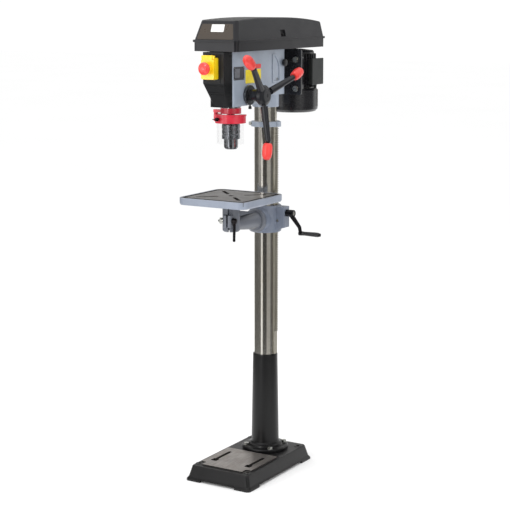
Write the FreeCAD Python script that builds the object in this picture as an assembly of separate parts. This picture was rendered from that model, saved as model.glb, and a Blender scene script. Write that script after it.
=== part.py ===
"""Floor-standing pillar drill, built as separate pieces. Millimetres.

Frame: origin at the centre of the base's footprint on the floor, +Z up,
-Y towards the operator and +X to the operator's right.
"""
import FreeCAD, Part
import math
import os

V = FreeCAD.Vector

# ---- driving dimensions -------------------------------------------------
BASE_X, BASE_Y, BASE_Z = 264.0, 446.0, 54.0
FLOOR_BOLT_X, FLOOR_BOLT_Y = 99.0, 177.0
FLOOR_BOLT_R = 6.5
COL_Y = 108.0                 # pillar axis
COL_R = 40.0
COL_WALL = 4.0
COL_TOP = 1425.0
SLEEVE_TOP = 411.0
FLANGE_R = 84.0
FLANGE_BOLT = 50.0            # half spacing of the four flange bolts
COLLAR_Z0, COLLAR_Z1 = 1233.0, 1251.0

SP_Y = -122.0                 # spindle axis and table centre
PINION_Z = 1355.0             # feed shaft height
FEED_MODULE, FEED_TEETH = 2.5, 11
FEED_R = FEED_MODULE * FEED_TEETH / 2
QUILL_R = 25.0
RACK_LINE = 22.25             # quill axis to the pitch line of its rack
PINION_Y = SP_Y + RACK_LINE + FEED_R

LIFT_MODULE, LIFT_TEETH = 2.0, 14
LIFT_R = LIFT_MODULE * LIFT_TEETH / 2
RACK_X = 46.0                 # pillar axis to the pitch line of the pillar's rack
GEAR_X = RACK_X + LIFT_R
GEAR_Z = 902.0
WORM_R = 14.0
CRANK_Z = GEAR_Z + LIFT_R + WORM_R
CRANK_REACH, CRANK_DROP = 57.0, 68.0
CRANK_Y = COL_Y - 4.0
BRACKET_Z0, BRACKET_Z1 = 859.0, 954.0

TILT_Z = 905.0                # axis of the table's tilt
TILT_Y = COL_Y - 62.0         # joint face of the tilt
STEM_R = 19.0
CLAMP_TURN = 15.0             # the stem clamp's ears, turned from the front towards +X
TABLE_SIZE = 272.0
TABLE_TOP = 1012.0
TABLE_RIM = 24.0

HEAD_X = 47.0                 # half width of the head casting
HEAD_Y0, HEAD_Y1 = -182.0, 164.0
HEAD_Z0, HEAD_Z1 = 1320.0, 1504.0
NOSE_Y = -230.0
SEAM_Z = 1538.0               # joint line of the belt cover
COVER_X = 86.0
COVER_R = 15.0                # corner radius of the belt cover
COVER_Y0, COVER_Y1 = -223.0, 383.0
LID_AXIS_X, LID_AXIS_Z = -96.0, 1538.4
LID_SCREW_Y = 88.0
HINGE_YS = (-70.0, 230.0)
TRAY_SCREWS = ((-30.0, -60.0), (30.0, -60.0), (-30.0, 150.0), (30.0, 150.0))
SW_X, SW_Z = -6.0, 1450.0     # centre of the switch
START_Z = SW_Z + 20.0
FLAP_Y = NOSE_Y - 21.0

IDLER_Y = 92.0
MOTOR_Y = 308.0
MOTOR_R = 80.0
MOTOR_BOLTS = ((62.0, 1463.0), (62.0, 1360.0), (-54.0, 1463.0), (-54.0, 1360.0))
PLATE_Y = 212.0               # front face of the motor's mounting plate
BAR_X, BAR_Z, BAR_R = 27.0, 1455.0, 8.0

STEPS = (52.0, 44.0, 36.0, 28.0)   # pulley step radii, largest first
STEP_H = 16.0
PULLEY_Z = 1518.0

QUILL_Z0, QUILL_Z1 = 1292.0, 1465.0
CHUCK_Z0, CHUCK_Z1 = 1173.0, 1262.0
CHUCK_BORE = 5.6
JAW_TILT = 18.0
GUARD_X = -60.0               # hinge of the chuck guard
HUB_X0, HUB_X1 = 92.0, 122.0  # hub of the feed levers
LEVER_ANGLES = (21.0, 141.0, 261.0)
KNEE, KNEE_X = 150.0, 34.0    # a lever's bend: distance from the shaft, and how far it has leant out
GRIP_END = 215.0
PRESSURE = math.radians(20)


# ---- helpers ------------------------------------------------------------
def block(x0, y0, z0, x1, y1, z1):
    return Part.makeBox(x1 - x0, y1 - y0, z1 - z0, V(x0, y0, z0))


def rod(radius, start, end):
    a, b = V(*start), V(*end)
    return Part.makeCylinder(radius, (b - a).Length, a, b - a)


def cone(r0, r1, start, end):
    a, b = V(*start), V(*end)
    return Part.makeCone(r0, r1, (b - a).Length, a, b - a)


def tube(outer, inner, start, end):
    a, b = V(*start), V(*end)
    over = (b - a).normalize()
    hole = Part.makeCylinder(inner, (V(*end) - V(*start)).Length + 2, V(*start) - over, over)
    return rod(outer, start, end).cut(hole)


def fuse(*shapes):
    whole = shapes[0]
    for shape in shapes[1:]:
        whole = whole.fuse(shape)
    return whole.removeSplitter()


def cut(shape, *tools):
    for tool in tools:
        shape = shape.cut(tool)
    return shape


def at(shape, base, axis=(0, 0, 1)):
    """The shape, made about +Z at the origin, stood at base along axis."""
    placed = shape.copy()
    placed.Placement = FreeCAD.Placement(V(*base), FreeCAD.Rotation(V(0, 0, 1), V(*axis)))
    return placed


def spun(shape, degrees, centre, axis):
    placed = shape.copy()
    placed.rotate(V(*centre), V(*axis), degrees)
    return placed


def polygon(points, direction):
    """A prism: a closed outline of (x, y, z) points pushed along direction."""
    wire = Part.makePolygon([V(*p) for p in points] + [V(*points[0])])
    return Part.Face(wire).extrude(V(*direction))


def turned(outline, base, axis=(0, 0, 1)):
    """A solid of revolution from a closed outline of (radius, height)."""
    points = [V(r, 0, h) for r, h in outline]
    face = Part.Face(Part.makePolygon(points + [points[0]]))
    return at(face.revolve(V(0, 0, 0), V(0, 0, 1), 360), base, axis)


def outline(x0, y0, x1, y1, radius, z):
    """A rectangle with rounded corners, as a wire at height z."""
    k = radius * (1 - math.sqrt(0.5))
    corners = [
        (V(x0 + radius, y0, z), V(x0 + k, y0 + k, z), V(x0, y0 + radius, z)),
        (V(x0, y1 - radius, z), V(x0 + k, y1 - k, z), V(x0 + radius, y1, z)),
        (V(x1 - radius, y1, z), V(x1 - k, y1 - k, z), V(x1, y1 - radius, z)),
        (V(x1, y0 + radius, z), V(x1 - k, y0 + k, z), V(x1 - radius, y0, z)),
    ]
    edges = []
    for i, (start, middle, end) in enumerate(corners):
        edges.append(Part.Arc(start, middle, end).toShape())
        edges.append(Part.LineSegment(end, corners[(i + 1) % 4][0]).toShape())
    return Part.Wire(edges)


def slab(x0, y0, x1, y1, radius, z0, z1):
    return Part.Face(outline(x0, y0, x1, y1, radius, z0)).extrude(V(0, 0, z1 - z0))


def loft(*wires):
    return Part.makeLoft(list(wires), True, True)


def hexagon(across, start, end):
    """A hexagonal bar between two points."""
    a, b = V(*start), V(*end)
    r = across / math.sqrt(3)
    points = [V(r * math.cos(math.radians(60 * i)), r * math.sin(math.radians(60 * i)), 0) for i in range(6)]
    bar = Part.Face(Part.makePolygon(points + [points[0]])).extrude(V(0, 0, (b - a).Length))
    return at(bar, start, tuple(b - a))


def involute(angle):
    return math.tan(angle) - angle


def gear(teeth, module, addendum, dedendum, thin, width):
    """A spur gear about +Z, one tooth pointing along +X, centred on z = 0."""
    pitch = module * teeth / 2
    base = pitch * math.cos(PRESSURE)
    half = math.pi / (2 * teeth) - thin / (2 * pitch)
    radii = [pitch - dedendum] + [
        max(base, pitch - dedendum) + (pitch + addendum - max(base, pitch - dedendum)) * i / 4 for i in range(5)
    ]

    def half_angle(radius):
        roll = math.acos(min(1.0, base / max(radius, base)))
        return half + involute(PRESSURE) - involute(roll)

    points = []
    for tooth in range(teeth):
        middle = 2 * math.pi * tooth / teeth
        for sign, order in ((-1, radii), (1, radii[::-1])):
            for radius in order:
                angle = middle + sign * half_angle(radius)
                points.append(V(radius * math.cos(angle), radius * math.sin(angle), -width / 2))
    face = Part.Face(Part.makePolygon(points + [points[0]]))
    return face.extrude(V(0, 0, width))


def rack_teeth(module, count, addendum, dedendum, thin):
    """The zigzag of a rack as (height above pitch line, distance along) from its middle gap."""
    pitch = math.pi * module
    half = pitch / 4 - thin / 2
    slope = math.tan(PRESSURE)
    line = []
    for k in range(-count // 2, count // 2):
        middle = (k + 0.5) * pitch
        line += [
            (-dedendum, middle - half - dedendum * slope),
            (addendum, middle - half + addendum * slope),
            (addendum, middle + half - addendum * slope),
            (-dedendum, middle + half + dedendum * slope),
        ]
    return line


def hex_bolt(across, head, shank_r, base, axis, length):
    """Head on the base plane pointing along axis, shank behind it."""
    d = V(*axis).normalize()
    b = V(*base)
    washer = rod(across * 0.62, tuple(b), tuple(b + d * 2))
    return fuse(
        washer,
        hexagon(across, tuple(b + d * 2), tuple(b + d * (2 + head))),
        rod(shank_r, tuple(b - d * length), tuple(b + d)),
    )


# ---- base and pillar ----------------------------------------------------
def base():
    hx, hy = BASE_X / 2, BASE_Y / 2
    outer = fuse(
        slab(-hx, -hy, hx, hy, 14, 0, 6),
        loft(
            outline(-hx, -hy, hx, hy, 14, 6),
            outline(-hx + 6, -hy + 6, hx - 6, hy - 6, 13, 14),
            outline(-hx + 16, -hy + 15, hx - 16, hy - 15, 12, BASE_Z - 3),
            outline(-hx + 19, -hy + 18, hx - 19, hy - 18, 10, BASE_Z),
        ),
    )
    wall = 9
    inner = loft(
        outline(-hx + wall, -hy + wall, hx - wall, hy - wall, 8, -1),
        outline(-hx + wall, -hy + wall, hx - wall, hy - wall, 8, 6),
        outline(-hx + wall + 5, -hy + wall + 5, hx - wall - 5, hy - wall - 5, 8, 14),
        outline(-hx + 16 + wall, -hy + 15 + wall, hx - 16 - wall, hy - 15 - wall, 6, BASE_Z - 12),
    )
    body = outer.cut(inner)
    pad = slab(-103, -188, 103, 19, 4, BASE_Z - 4, BASE_Z + 4)
    for side in (-1, 1):
        notch = slab(min(side * 82, side * 120), -200, max(side * 82, side * 120), -160, 6, BASE_Z, BASE_Z + 6)
        pad = pad.cut(notch)
    seat = rod(FLANGE_R - 2, (0, COL_Y, BASE_Z - 30), (0, COL_Y, BASE_Z - 2))
    rib = block(-4, -hy + 30, BASE_Z - 34, 4, hy - 40, BASE_Z - 8)
    body = fuse(body, pad, seat, rib)
    for x in (-FLOOR_BOLT_X, FLOOR_BOLT_X):
        for y in (-FLOOR_BOLT_Y, FLOOR_BOLT_Y):
            body = fuse(body, rod(15, (x, y, 0), (x, y, BASE_Z + 1)))
            body = body.cut(rod(FLOOR_BOLT_R, (x, y, -1), (x, y, BASE_Z + 10)))
    for x in (-70, 70):
        slot = slab(x - 6.5, -134, x + 6.5, -18, 6, BASE_Z - 20, BASE_Z + 10)
        entry = slab(x - 12, -136, x + 12, -112, 3, BASE_Z - 20, BASE_Z + 10)
        body = cut(body, slot, entry)
    for x in (-FLANGE_BOLT, FLANGE_BOLT):
        for y in (COL_Y - FLANGE_BOLT, COL_Y + FLANGE_BOLT):
            body = body.cut(rod(5.1, (x, y, BASE_Z - 34), (x, y, BASE_Z + 1)))
    relief = 8
    for sign in (-1, 1):
        body = body.cut(block(-71, min(sign * (hy - 40), sign * (hy + 5)), -1,
                              71, max(sign * (hy - 40), sign * (hy + 5)), relief))
        body = body.cut(block(min(sign * (hx - 40), sign * (hx + 5)), -150, -1,
                              max(sign * (hx - 40), sign * (hx + 5)), 150, relief))
    return body


def column_holder():
    z = BASE_Z
    body = turned(
        [(COL_R + 0.05, z), (FLANGE_R, z), (FLANGE_R, z + 9), (FLANGE_R - 3, z + 12), (64, z + 14), (61, z + 20),
         (54, z + 23), (50, z + 28), (44.5, SLEEVE_TOP - 4), (43, SLEEVE_TOP), (COL_R + 0.05, SLEEVE_TOP)],
        (0, COL_Y, 0),
    )
    for x in (-FLANGE_BOLT, FLANGE_BOLT):
        for y in (COL_Y - FLANGE_BOLT, COL_Y + FLANGE_BOLT):
            body = body.cut(rod(5.5, (x, y, z - 1), (x, y, z + 30)))
            body = body.cut(rod(12, (x, y, z + 12), (x, y, z + 30)))
    return body


def flange_bolts():
    return [
        hex_bolt(17, 7, 5, (x, y, BASE_Z + 12), (0, 0, 1), 36)
        for x in (-FLANGE_BOLT, FLANGE_BOLT)
        for y in (COL_Y - FLANGE_BOLT, COL_Y + FLANGE_BOLT)
    ]


def column():
    return tube(COL_R, COL_R - COL_WALL, (0, COL_Y, BASE_Z), (0, COL_Y, COL_TOP))


def rack():
    count = 130
    line = rack_teeth(LIFT_MODULE, count, 1.5, 2.6, 0.5)
    top, bottom = COLLAR_Z0 - 0.5, SLEEVE_TOP + 1
    kept = [(h, s) for h, s in line if bottom + 4 < GEAR_Z + s < top - 4]
    y0 = COL_Y - 11
    points = [(38, y0, bottom), (RACK_X - 2.6, y0, bottom)]
    points += [(RACK_X + h, y0, GEAR_Z + s) for h, s in kept]
    points += [(RACK_X - 2.6, y0, top), (38, y0, top)]
    bar = polygon(points, (0, 22, 0))
    return bar.cut(rod(COL_R + 0.35, (0, COL_Y, bottom - 1), (0, COL_Y, top + 1)))


def rack_collar():
    z0, z1 = COLLAR_Z0, COLLAR_Z1
    body = turned([(COL_R + 0.05, z0), (51, z0), (52, z0 + 1), (52, z1 - 2), (50, z1), (COL_R + 0.05, z1)],
                  (0, COL_Y, 0))
    lug = slab(34, COL_Y - 12, 58, COL_Y + 12, 4, z0, z1)
    body = fuse(body, lug).cut(rod(COL_R + 0.05, (0, COL_Y, z0 - 1), (0, COL_Y, z1 + 1)))
    return body.cut(rod(3.05, (-24, COL_Y - 24, z0 + 11), (-44, COL_Y - 44, z0 + 11)))


def set_screw(radius, start, end):
    screw = rod(radius, start, end)
    a, b = V(*start), V(*end)
    d = (b - a).normalize()
    return screw.cut(hexagon(radius * 1.1, tuple(b - d * 3), tuple(b + d)))


def set_screws():
    z = COLLAR_Z0 + 11
    k = COL_R * math.sqrt(0.5) + 0.2
    out = V(-1, -1, 0).normalize()
    seat, top = V(0, COL_Y, z) + out * 52.4, V(0, COL_Y, z) + out * 60
    screws = [fuse(rod(3, (-k, COL_Y - k, z), tuple(seat + out)), hexagon(11, tuple(seat), tuple(top)))]
    for height in (1365.0, 1400.0):
        screws.append(set_screw(5, (COL_R + 0.2, COL_Y, height), (HEAD_X - 1, COL_Y, height)))
    return screws


# ---- table lift ---------------------------------------------------------
def table_bracket():
    z0, z1 = BRACKET_Z0, BRACKET_Z1
    body = turned([(0, z0), (55, z0), (57, z0 + 2), (57, z1 - 3), (54, z1), (0, z1)], (0, COL_Y, 0))
    gearbox = slab(30, COL_Y - 19, 88, COL_Y + 19, 3, z0 + 12, z1 - 2)
    gearbox = gearbox.cut(polygon([(60, COL_Y - 30, z0 + 11), (90, COL_Y - 30, z0 + 11), (90, COL_Y - 30, z0 + 20)],
                                  (0, 60, 0)))
    face = cone(46, 42, (0, COL_Y - 30, TILT_Z), (0, TILT_Y, TILT_Z))
    clamp = slab(-18, COL_Y + 40, 18, COL_Y + 82, 4, z0 + 12, z1 - 12)
    body = fuse(body, gearbox, face, clamp)
    body = body.cut(block(-100, -200, z1, 100, 300, z1 + 30))
    body = body.cut(rod(COL_R + 0.08, (0, COL_Y, z0 - 1), (0, COL_Y, z1 + 1)))
    body = body.cut(block(30, COL_Y - 11.6, z0 - 1, RACK_X + 2.2, COL_Y + 11.6, z1 + 1))
    body = body.cut(block(-1.5, COL_Y + 30, z0 - 1, 1.5, COL_Y + 90, z1 + 1))
    body = body.cut(rod(6.1, (-30, COL_Y + 66, 898), (30, COL_Y + 66, 898)))
    gear_room = rod(LIFT_R + 3.2, (GEAR_X, COL_Y - 12.5, GEAR_Z), (GEAR_X, COL_Y + 12.5, GEAR_Z))
    gear_pin = rod(5.06, (GEAR_X, COL_Y - 30, GEAR_Z), (GEAR_X, COL_Y + 30, GEAR_Z))
    worm_room = rod(14.5, (46, CRANK_Y, CRANK_Z), (76, CRANK_Y, CRANK_Z))
    shaft = rod(8.06, (40, CRANK_Y, CRANK_Z), (95, CRANK_Y, CRANK_Z))
    link = block(46, COL_Y - 11, GEAR_Z, 76, COL_Y + 11, CRANK_Z)
    tilt_hole = rod(8.0, (0, COL_Y - 95, TILT_Z), (0, COL_Y - 38, TILT_Z))
    return cut(body, gear_room, gear_pin, worm_room, shaft, link, tilt_hole)


def column_clamp_lever():
    x0, y, z = -18.4, COL_Y + 66, 898.0
    screw = rod(6, (x0 - 2, y, z), (26, y, z))
    hub = rod(11, (x0 - 16, y, z), (x0, y, z))
    stem = cone(5.5, 4.5, (x0 - 9, y, z), (x0 - 24, y + 62, z + 34))
    knob = Part.makeSphere(10, V(x0 - 24, y + 62, z + 34))
    return fuse(screw, hub, stem, knob)


def lift_gear():
    wheel = gear(LIFT_TEETH, LIFT_MODULE, 2.0, 2.2, 0.5, 22)
    wheel.rotate(V(0, 0, 0), V(0, 0, 1), 180)
    wheel.rotate(V(0, 0, 0), V(1, 0, 0), 90)
    wheel.translate(V(GEAR_X, COL_Y, GEAR_Z))
    shaft = rod(5, (GEAR_X, COL_Y - 18, GEAR_Z), (GEAR_X, COL_Y + 18, GEAR_Z))
    return fuse(wheel, shaft)


def crank_shaft():
    """Shaft with a worm; the worm's ridges stand clear of the gear by its backlash."""
    core = rod(8, (49.5, CRANK_Y, CRANK_Z), (119, CRANK_Y, CRANK_Z))
    pitch = math.pi * LIFT_MODULE
    ridges = []
    middle = GEAR_X
    for k in range(-2, 2):
        x = middle + (k + 0.5) * pitch
        ridges.append(turned([(7, -2.0), (11.6, -1.1), (11.6, 1.1), (7, 2.0)], (x, CRANK_Y, CRANK_Z), (1, 0, 0)))
    return fuse(core, *ridges)


def crank_arm():
    x0 = 89.0
    boss = turned([(8.05, 0), (11, 0), (12.5, 1.5), (12.5, 29), (11, 31), (8.05, 31)], (x0, CRANK_Y, CRANK_Z), (1, 0, 0))
    end = (x0 + CRANK_REACH, CRANK_Y, CRANK_Z - CRANK_DROP)
    knee = (x0 + CRANK_REACH - 4, CRANK_Y, CRANK_Z - 47)
    arm = fuse(
        cone(8.5, 6.5, (x0 + 19, CRANK_Y, CRANK_Z - 6), knee),
        Part.makeSphere(6.5, V(*knee)),
        cone(6.5, 6, knee, end),
        rod(8, (end[0] - 5, CRANK_Y, end[2]), (end[0] + 5, CRANK_Y, end[2])),
    )
    arm = arm.cut(rod(8.05, (x0 - 1, CRANK_Y, CRANK_Z), (119, CRANK_Y, CRANK_Z)))
    pin = rod(4, (end[0] + 4, CRANK_Y, end[2]), (end[0] + 77, CRANK_Y, end[2]))
    cap = rod(6, (end[0] + 76.5, CRANK_Y, end[2]), (end[0] + 79, CRANK_Y, end[2]))
    return fuse(boss, arm, pin, cap)


def crank_grip():
    return turned(
        [(4.06, 0), (6.5, 0), (7.5, 2), (7.5, 6), (7, 9), (7.6, 30), (8.2, 55), (8, 64), (6.5, 69), (4.06, 70)],
        (89.0 + CRANK_REACH + 6, CRANK_Y, CRANK_Z - CRANK_DROP), (1, 0, 0),
    )


# ---- table --------------------------------------------------------------
def clamp_turned(shape):
    """Turns a shape built at the front of the stem to where the clamp's ears are."""
    return spun(shape, CLAMP_TURN, (0, SP_Y, 0), (0, 0, 1))


def table_arm():
    y_face = TILT_Y - 0.3
    flange = turned([(0, 0), (40, 0), (42, 2), (42, 12), (36, 17), (0, 17)], (0, y_face, TILT_Z), (0, -1, 0))
    barrel = cone(32, 18.5, (0, y_face - 12, TILT_Z + 1), (0, SP_Y, TILT_Z + 6))
    holder = turned([(0, 889), (26, 889), (30, 893), (30, 980), (27, 983), (0, 983)], (0, SP_Y, 0))
    web = polygon([(-7, y_face - 15, 936), (-7, SP_Y + 20, 936), (-7, SP_Y + 20, 960)], (14, 0, 0))
    ears = clamp_turned(slab(-15, SP_Y - 50, 15, SP_Y - 20, 5, 908, 950))
    body = fuse(flange, barrel, holder, web, ears)
    body = body.cut(rod(STEM_R + 0.06, (0, SP_Y, 880), (0, SP_Y, 990)))
    body = body.cut(clamp_turned(block(-3, SP_Y - 60, 880, 3, SP_Y - 10, 990)))
    body = body.cut(clamp_turned(rod(5.1, (-20, SP_Y - 38, 930), (20, SP_Y - 38, 930))))
    return body.cut(rod(8.05, (0, y_face - 30, TILT_Z), (0, y_face + 1, TILT_Z)))


def arm_fasteners():
    """The tilt pin in the arm's flange, and the nut of the stem clamp."""
    y_face = TILT_Y - 0.3
    pin = fuse(
        rod(7.95, (0, y_face - 29, TILT_Z), (0, y_face + 1, TILT_Z)),
        rod(7.93, (0, y_face, TILT_Z), (0, COL_Y - 42, TILT_Z)),
    )
    y = SP_Y - 38
    nut = fuse(
        hexagon(19, (-28, y, 930), (-17, y, 930)),
        rod(12, (-17, y, 930), (-15.2, y, 930)),
        cone(6.5, 3.5, (-28, y, 930), (-34, y, 930)),
    )
    return [pin, clamp_turned(nut.cut(rod(5.1, (-24, y, 930), (0, y, 930))))]


def stem_clamp_lever():
    y, z = SP_Y - 38, 930.0
    screw = rod(5, (-23, y, z), (18, y, z))
    hub = turned([(0, 0), (9, 0), (10, 2), (10, 13), (7, 16), (0, 16)], (15.3, y, z), (1, 0, 0))
    stem = cone(5.2, 4.6, (23, y, z), (23, y - 4, z - 66))
    tip = Part.makeSphere(5, V(23, y - 4, z - 66))
    return clamp_turned(fuse(screw, hub, stem, tip))


def table():
    h = TABLE_SIZE / 2
    z0, z1 = TABLE_TOP - TABLE_RIM, TABLE_TOP
    body = loft(
        outline(-h + 3, SP_Y - h + 3, h - 3, SP_Y + h - 3, 30, z0),
        outline(-h, SP_Y - h, h, SP_Y + h, 33, z0 + 5),
        outline(-h, SP_Y - h, h, SP_Y + h, 33, z1 - 1.5),
        outline(-h + 1.5, SP_Y - h + 1.5, h - 1.5, SP_Y + h - 1.5, 31.5, z1),
    )
    hollow = slab(-h + 9, SP_Y - h + 9, h - 9, SP_Y + h - 9, 24, z0 - 1, z1 - 12)
    hub = rod(34, (0, SP_Y, z0 + 1), (0, SP_Y, z1 - 10))
    stem = rod(STEM_R, (0, SP_Y, 900), (0, SP_Y, z1 - 10))
    ribs = [spun(block(-h * 1.18, SP_Y - 4, z0 + 4, h * 1.18, SP_Y + 4, z1 - 11), a, (0, SP_Y, 0), (0, 0, 1))
            for a in (0, 90)]
    ribs = [rib.common(slab(-h + 5, SP_Y - h + 5, h - 5, SP_Y + h - 5, 26, z0, z1)) for rib in ribs]
    body = fuse(body.cut(hollow), hub, stem, *ribs)
    gutter = slab(-h + 10, SP_Y - h + 10, h - 10, SP_Y + h - 10, 25, z1 - 3.5, z1 + 1)
    gutter = gutter.cut(slab(-h + 22, SP_Y - h + 22, h - 22, SP_Y + h - 22, 16, z1 - 5, z1 + 2))
    body = body.cut(gutter)
    for a in (45, 135, 225, 315):
        slot = slab(44, -6.5, 124, 6.5, 6, z0 - 2, z1 + 2)
        slot.rotate(V(0, 0, 0), V(0, 0, 1), a)
        slot.translate(V(0, SP_Y, 0))
        body = body.cut(slot)
    return body.cut(rod(9, (0, SP_Y, 880), (0, SP_Y, z1 + 2)))


# ---- head ---------------------------------------------------------------
def head_casting():
    x = HEAD_X
    side = [(-x, HEAD_Y0, HEAD_Z0), (-x, -30, HEAD_Z0), (-x, 20, 1345), (-x, HEAD_Y1, 1345),
            (-x, HEAD_Y1, HEAD_Z1), (-x, HEAD_Y0, HEAD_Z1)]
    outer = polygon(side, (2 * x, 0, 0))
    outer = outer.common(slab(-x, HEAD_Y0, x, HEAD_Y1, 9, HEAD_Z0 - 5, HEAD_Z1))
    w = 8
    inner_side = [(-x + w, HEAD_Y0 + w, HEAD_Z0 + w), (-x + w, -32, HEAD_Z0 + w), (-x + w, 18, 1345 + w),
                  (-x + w, HEAD_Y1 - w, 1345 + w), (-x + w, HEAD_Y1 - w, HEAD_Z1 - w), (-x + w, HEAD_Y0 + w, HEAD_Z1 - w)]
    shell = outer.cut(polygon(inner_side, (2 * (x - w), 0, 0)))
    quill_boss = rod(35, (0, SP_Y, HEAD_Z0 - 4), (0, SP_Y, HEAD_Z1 - 2))
    pinion_boss = rod(24, (-x - 3, PINION_Y, PINION_Z), (x, PINION_Y, PINION_Z))
    socket = turned([(0, 1302), (45.5, 1302), (HEAD_X, 1304), (HEAD_X, 1436), (0, 1436)], (0, COL_Y, 0))
    bars = [rod(14, (s * BAR_X, 60, BAR_Z), (s * BAR_X, HEAD_Y1 - 2, BAR_Z)) for s in (-1, 1)]
    knob_boss = rod(11, (30, 143, BAR_Z), (x + 3, 143, BAR_Z))
    web = polygon([(x - 1, 73, 1488), (x - 1, 90, 1488), (x - 1, 113, 1466), (x - 1, 124, 1440),
                   (x - 1, 124, 1388), (x - 1, 73, 1388)], (4, 0, 0))
    web = web.cut(polygon([(x, 79, 1482), (x, 88, 1482), (x, 108, 1463), (x, 118, 1439), (x, 118, 1394),
                           (x, 79, 1394)], (4, 0, 0)))
    idler_seat = rod(18, (0, IDLER_Y, 1440), (0, IDLER_Y, HEAD_Z1))
    body = fuse(shell, quill_boss, pinion_boss, socket, knob_boss, web, idler_seat, *bars)
    body = body.cut(rod(COL_R + 0.05, (0, COL_Y, 1290), (0, COL_Y, COL_TOP + 0.5)))
    body = body.cut(rod(QUILL_R + 0.06, (0, SP_Y, 1300), (0, SP_Y, 1476)))
    body = body.cut(rod(18.5, (0, SP_Y, 1470), (0, SP_Y, HEAD_Z1 + 1)))
    body = body.cut(rod(26.05, (0, SP_Y, 1484), (0, SP_Y, HEAD_Z1 + 1)))
    body = body.cut(rod(FEED_R + 2.8, (-18, PINION_Y, PINION_Z), (x + 5, PINION_Y, PINION_Z)))
    body = body.cut(rod(9.06, (-x - 8, PINION_Y, PINION_Z), (0, PINION_Y, PINION_Z)))
    for s in (-1, 1):
        body = body.cut(rod(BAR_R + 0.06, (s * BAR_X, 66, BAR_Z), (s * BAR_X, HEAD_Y1 + 2, BAR_Z)))
    body = body.cut(rod(5.06, (BAR_X + 4, 143, BAR_Z), (x + 6, 143, BAR_Z)))
    body = body.cut(rod(8.02, (0, IDLER_Y, 1446), (0, IDLER_Y, HEAD_Z1 + 1)))
    for height in (1365.0, 1400.0):
        body = body.cut(rod(5.06, (COL_R - 4, COL_Y, height), (x + 4, COL_Y, height)))
    return body


def nose_cover():
    y0, y1 = NOSE_Y, HEAD_Y0

    def ring(z, half, front, inset):
        return Part.makePolygon([
            V(-43 + inset, y1 + (1 if inset else 0), z), V(-half + inset, front + inset, z),
            V(half - inset, front + inset, z), V(43 - inset, y1 + (1 if inset else 0), z),
            V(-43 + inset, y1 + (1 if inset else 0), z),
        ])

    knee = 1399.0
    outer = fuse(
        loft(ring(1502, 41, y0, 0), ring(knee, 41, y0, 0)),
        loft(ring(knee, 41, y0, 0), ring(1317, 22, y0 + 42, 0)),
    )
    inner = fuse(
        loft(ring(1499, 41, y0, 3), ring(knee, 41, y0, 3)),
        loft(ring(knee, 41, y0, 3), ring(1320, 22, y0 + 42, 3)),
    )
    body = outer.cut(inner)
    panel = slab(-37, y0 - 2, 27, y0 + 1, 0.9, 1401, 1496)
    body = fuse(body, panel)
    body = body.cut(slab(-34, y0 - 3, 24, y0 - 1, 0.9, 1404, 1493))
    body = body.cut(slab(-24, y0 - 5, 12, y0 + 5, 2, 1420, 1480))
    slant = math.degrees(math.atan2(42, knee - 1317))
    for z in (1390.0, 1367.0, 1360.0):
        y = y0 + (knee - z) * 42 / (knee - 1317)
        half = 41 - (knee - z) * 19 / (knee - 1317) - 5
        rib = block(-half, y - 1.2, z - 1, half, y + 1.5, z + 1)
        body = fuse(body, spun(rib, slant, (0, y, z), (1, 0, 0)))
    for y, z in ((y1 - 12, 1330.0), (y1 - 12, 1490.0)):
        body = body.cut(rod(2.2, (30, y, z), (50, y, z)))
    return body


def switch_box():
    y = NOSE_Y - 1.0
    body = slab_y(SW_X - 26, SW_X + 26, SW_Z - 37, SW_Z + 34.5, 5, y - 19.4, y)
    back = slab_y(SW_X - 17, SW_X + 17, SW_Z - 29, SW_Z + 29, 4, y - 1, y + 36)
    body = fuse(body, back)
    body = body.cut(rod(9.5, (SW_X, y - 25, SW_Z), (SW_X, y - 8, SW_Z)))
    body = body.cut(rod(7.6, (SW_X, y - 25, START_Z), (SW_X, y + 4, START_Z)))
    for side in (-1, 1):
        x = SW_X + side * 22
        body = fuse(body, block(x - 3, FLAP_Y - 4, SW_Z + 30, x + 3, FLAP_Y + 1.5, SW_Z + 42))
        body = body.cut(rod(2.05, (x - 5, FLAP_Y - 1.5, SW_Z + 39), (x + 5, FLAP_Y - 1.5, SW_Z + 39)))
    return body


def slab_y(x0, x1, z0, z1, radius, y0, y1):
    """A plate with rounded corners that faces along Y."""
    flat = slab(x0, -z1, x1, -z0, radius, 0, y1 - y0)
    flat.rotate(V(0, 0, 0), V(1, 0, 0), -90)
    flat.translate(V(0, y0, 0))
    return flat


def switch_flap():
    y = FLAP_Y - 0.3
    body = slab_y(SW_X - 25, SW_X + 25, SW_Z - 36, SW_Z + 34, 5, y - 6, y)
    for side in (-1, 1):
        x = SW_X + side * 22
        body = body.cut(block(x - 4, y - 10, SW_Z + 28, x + 4, y + 2, SW_Z + 45))
    knuckle = rod(4, (SW_X - 18, y - 1.2, SW_Z + 39), (SW_X + 18, y - 1.2, SW_Z + 39))
    neck = block(SW_X - 18, y - 5, SW_Z + 28, SW_X + 18, y, SW_Z + 39)
    pin = rod(2, (SW_X - 24, y - 1.2, SW_Z + 39), (SW_X + 24, y - 1.2, SW_Z + 39))
    collar = tube(14, 9.3, (SW_X, y - 12, SW_Z), (SW_X, y - 5, SW_Z))
    body = fuse(body, knuckle, neck, pin, collar)
    return body.cut(rod(9.3, (SW_X, y - 14, SW_Z), (SW_X, y + 2, SW_Z)))


def stop_button():
    return turned(
        [(0, 0), (9, 0), (9, 18), (16, 20), (20.5, 22), (21.5, 25), (21, 29), (18, 32.5), (12, 35), (5, 36), (0, 36)],
        (SW_X, FLAP_Y, SW_Z), (0, -1, 0),
    )


def start_button():
    return rod(7.5, (SW_X, NOSE_Y - 20.0, START_Z), (SW_X, NOSE_Y - 3.0, START_Z))


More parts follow.
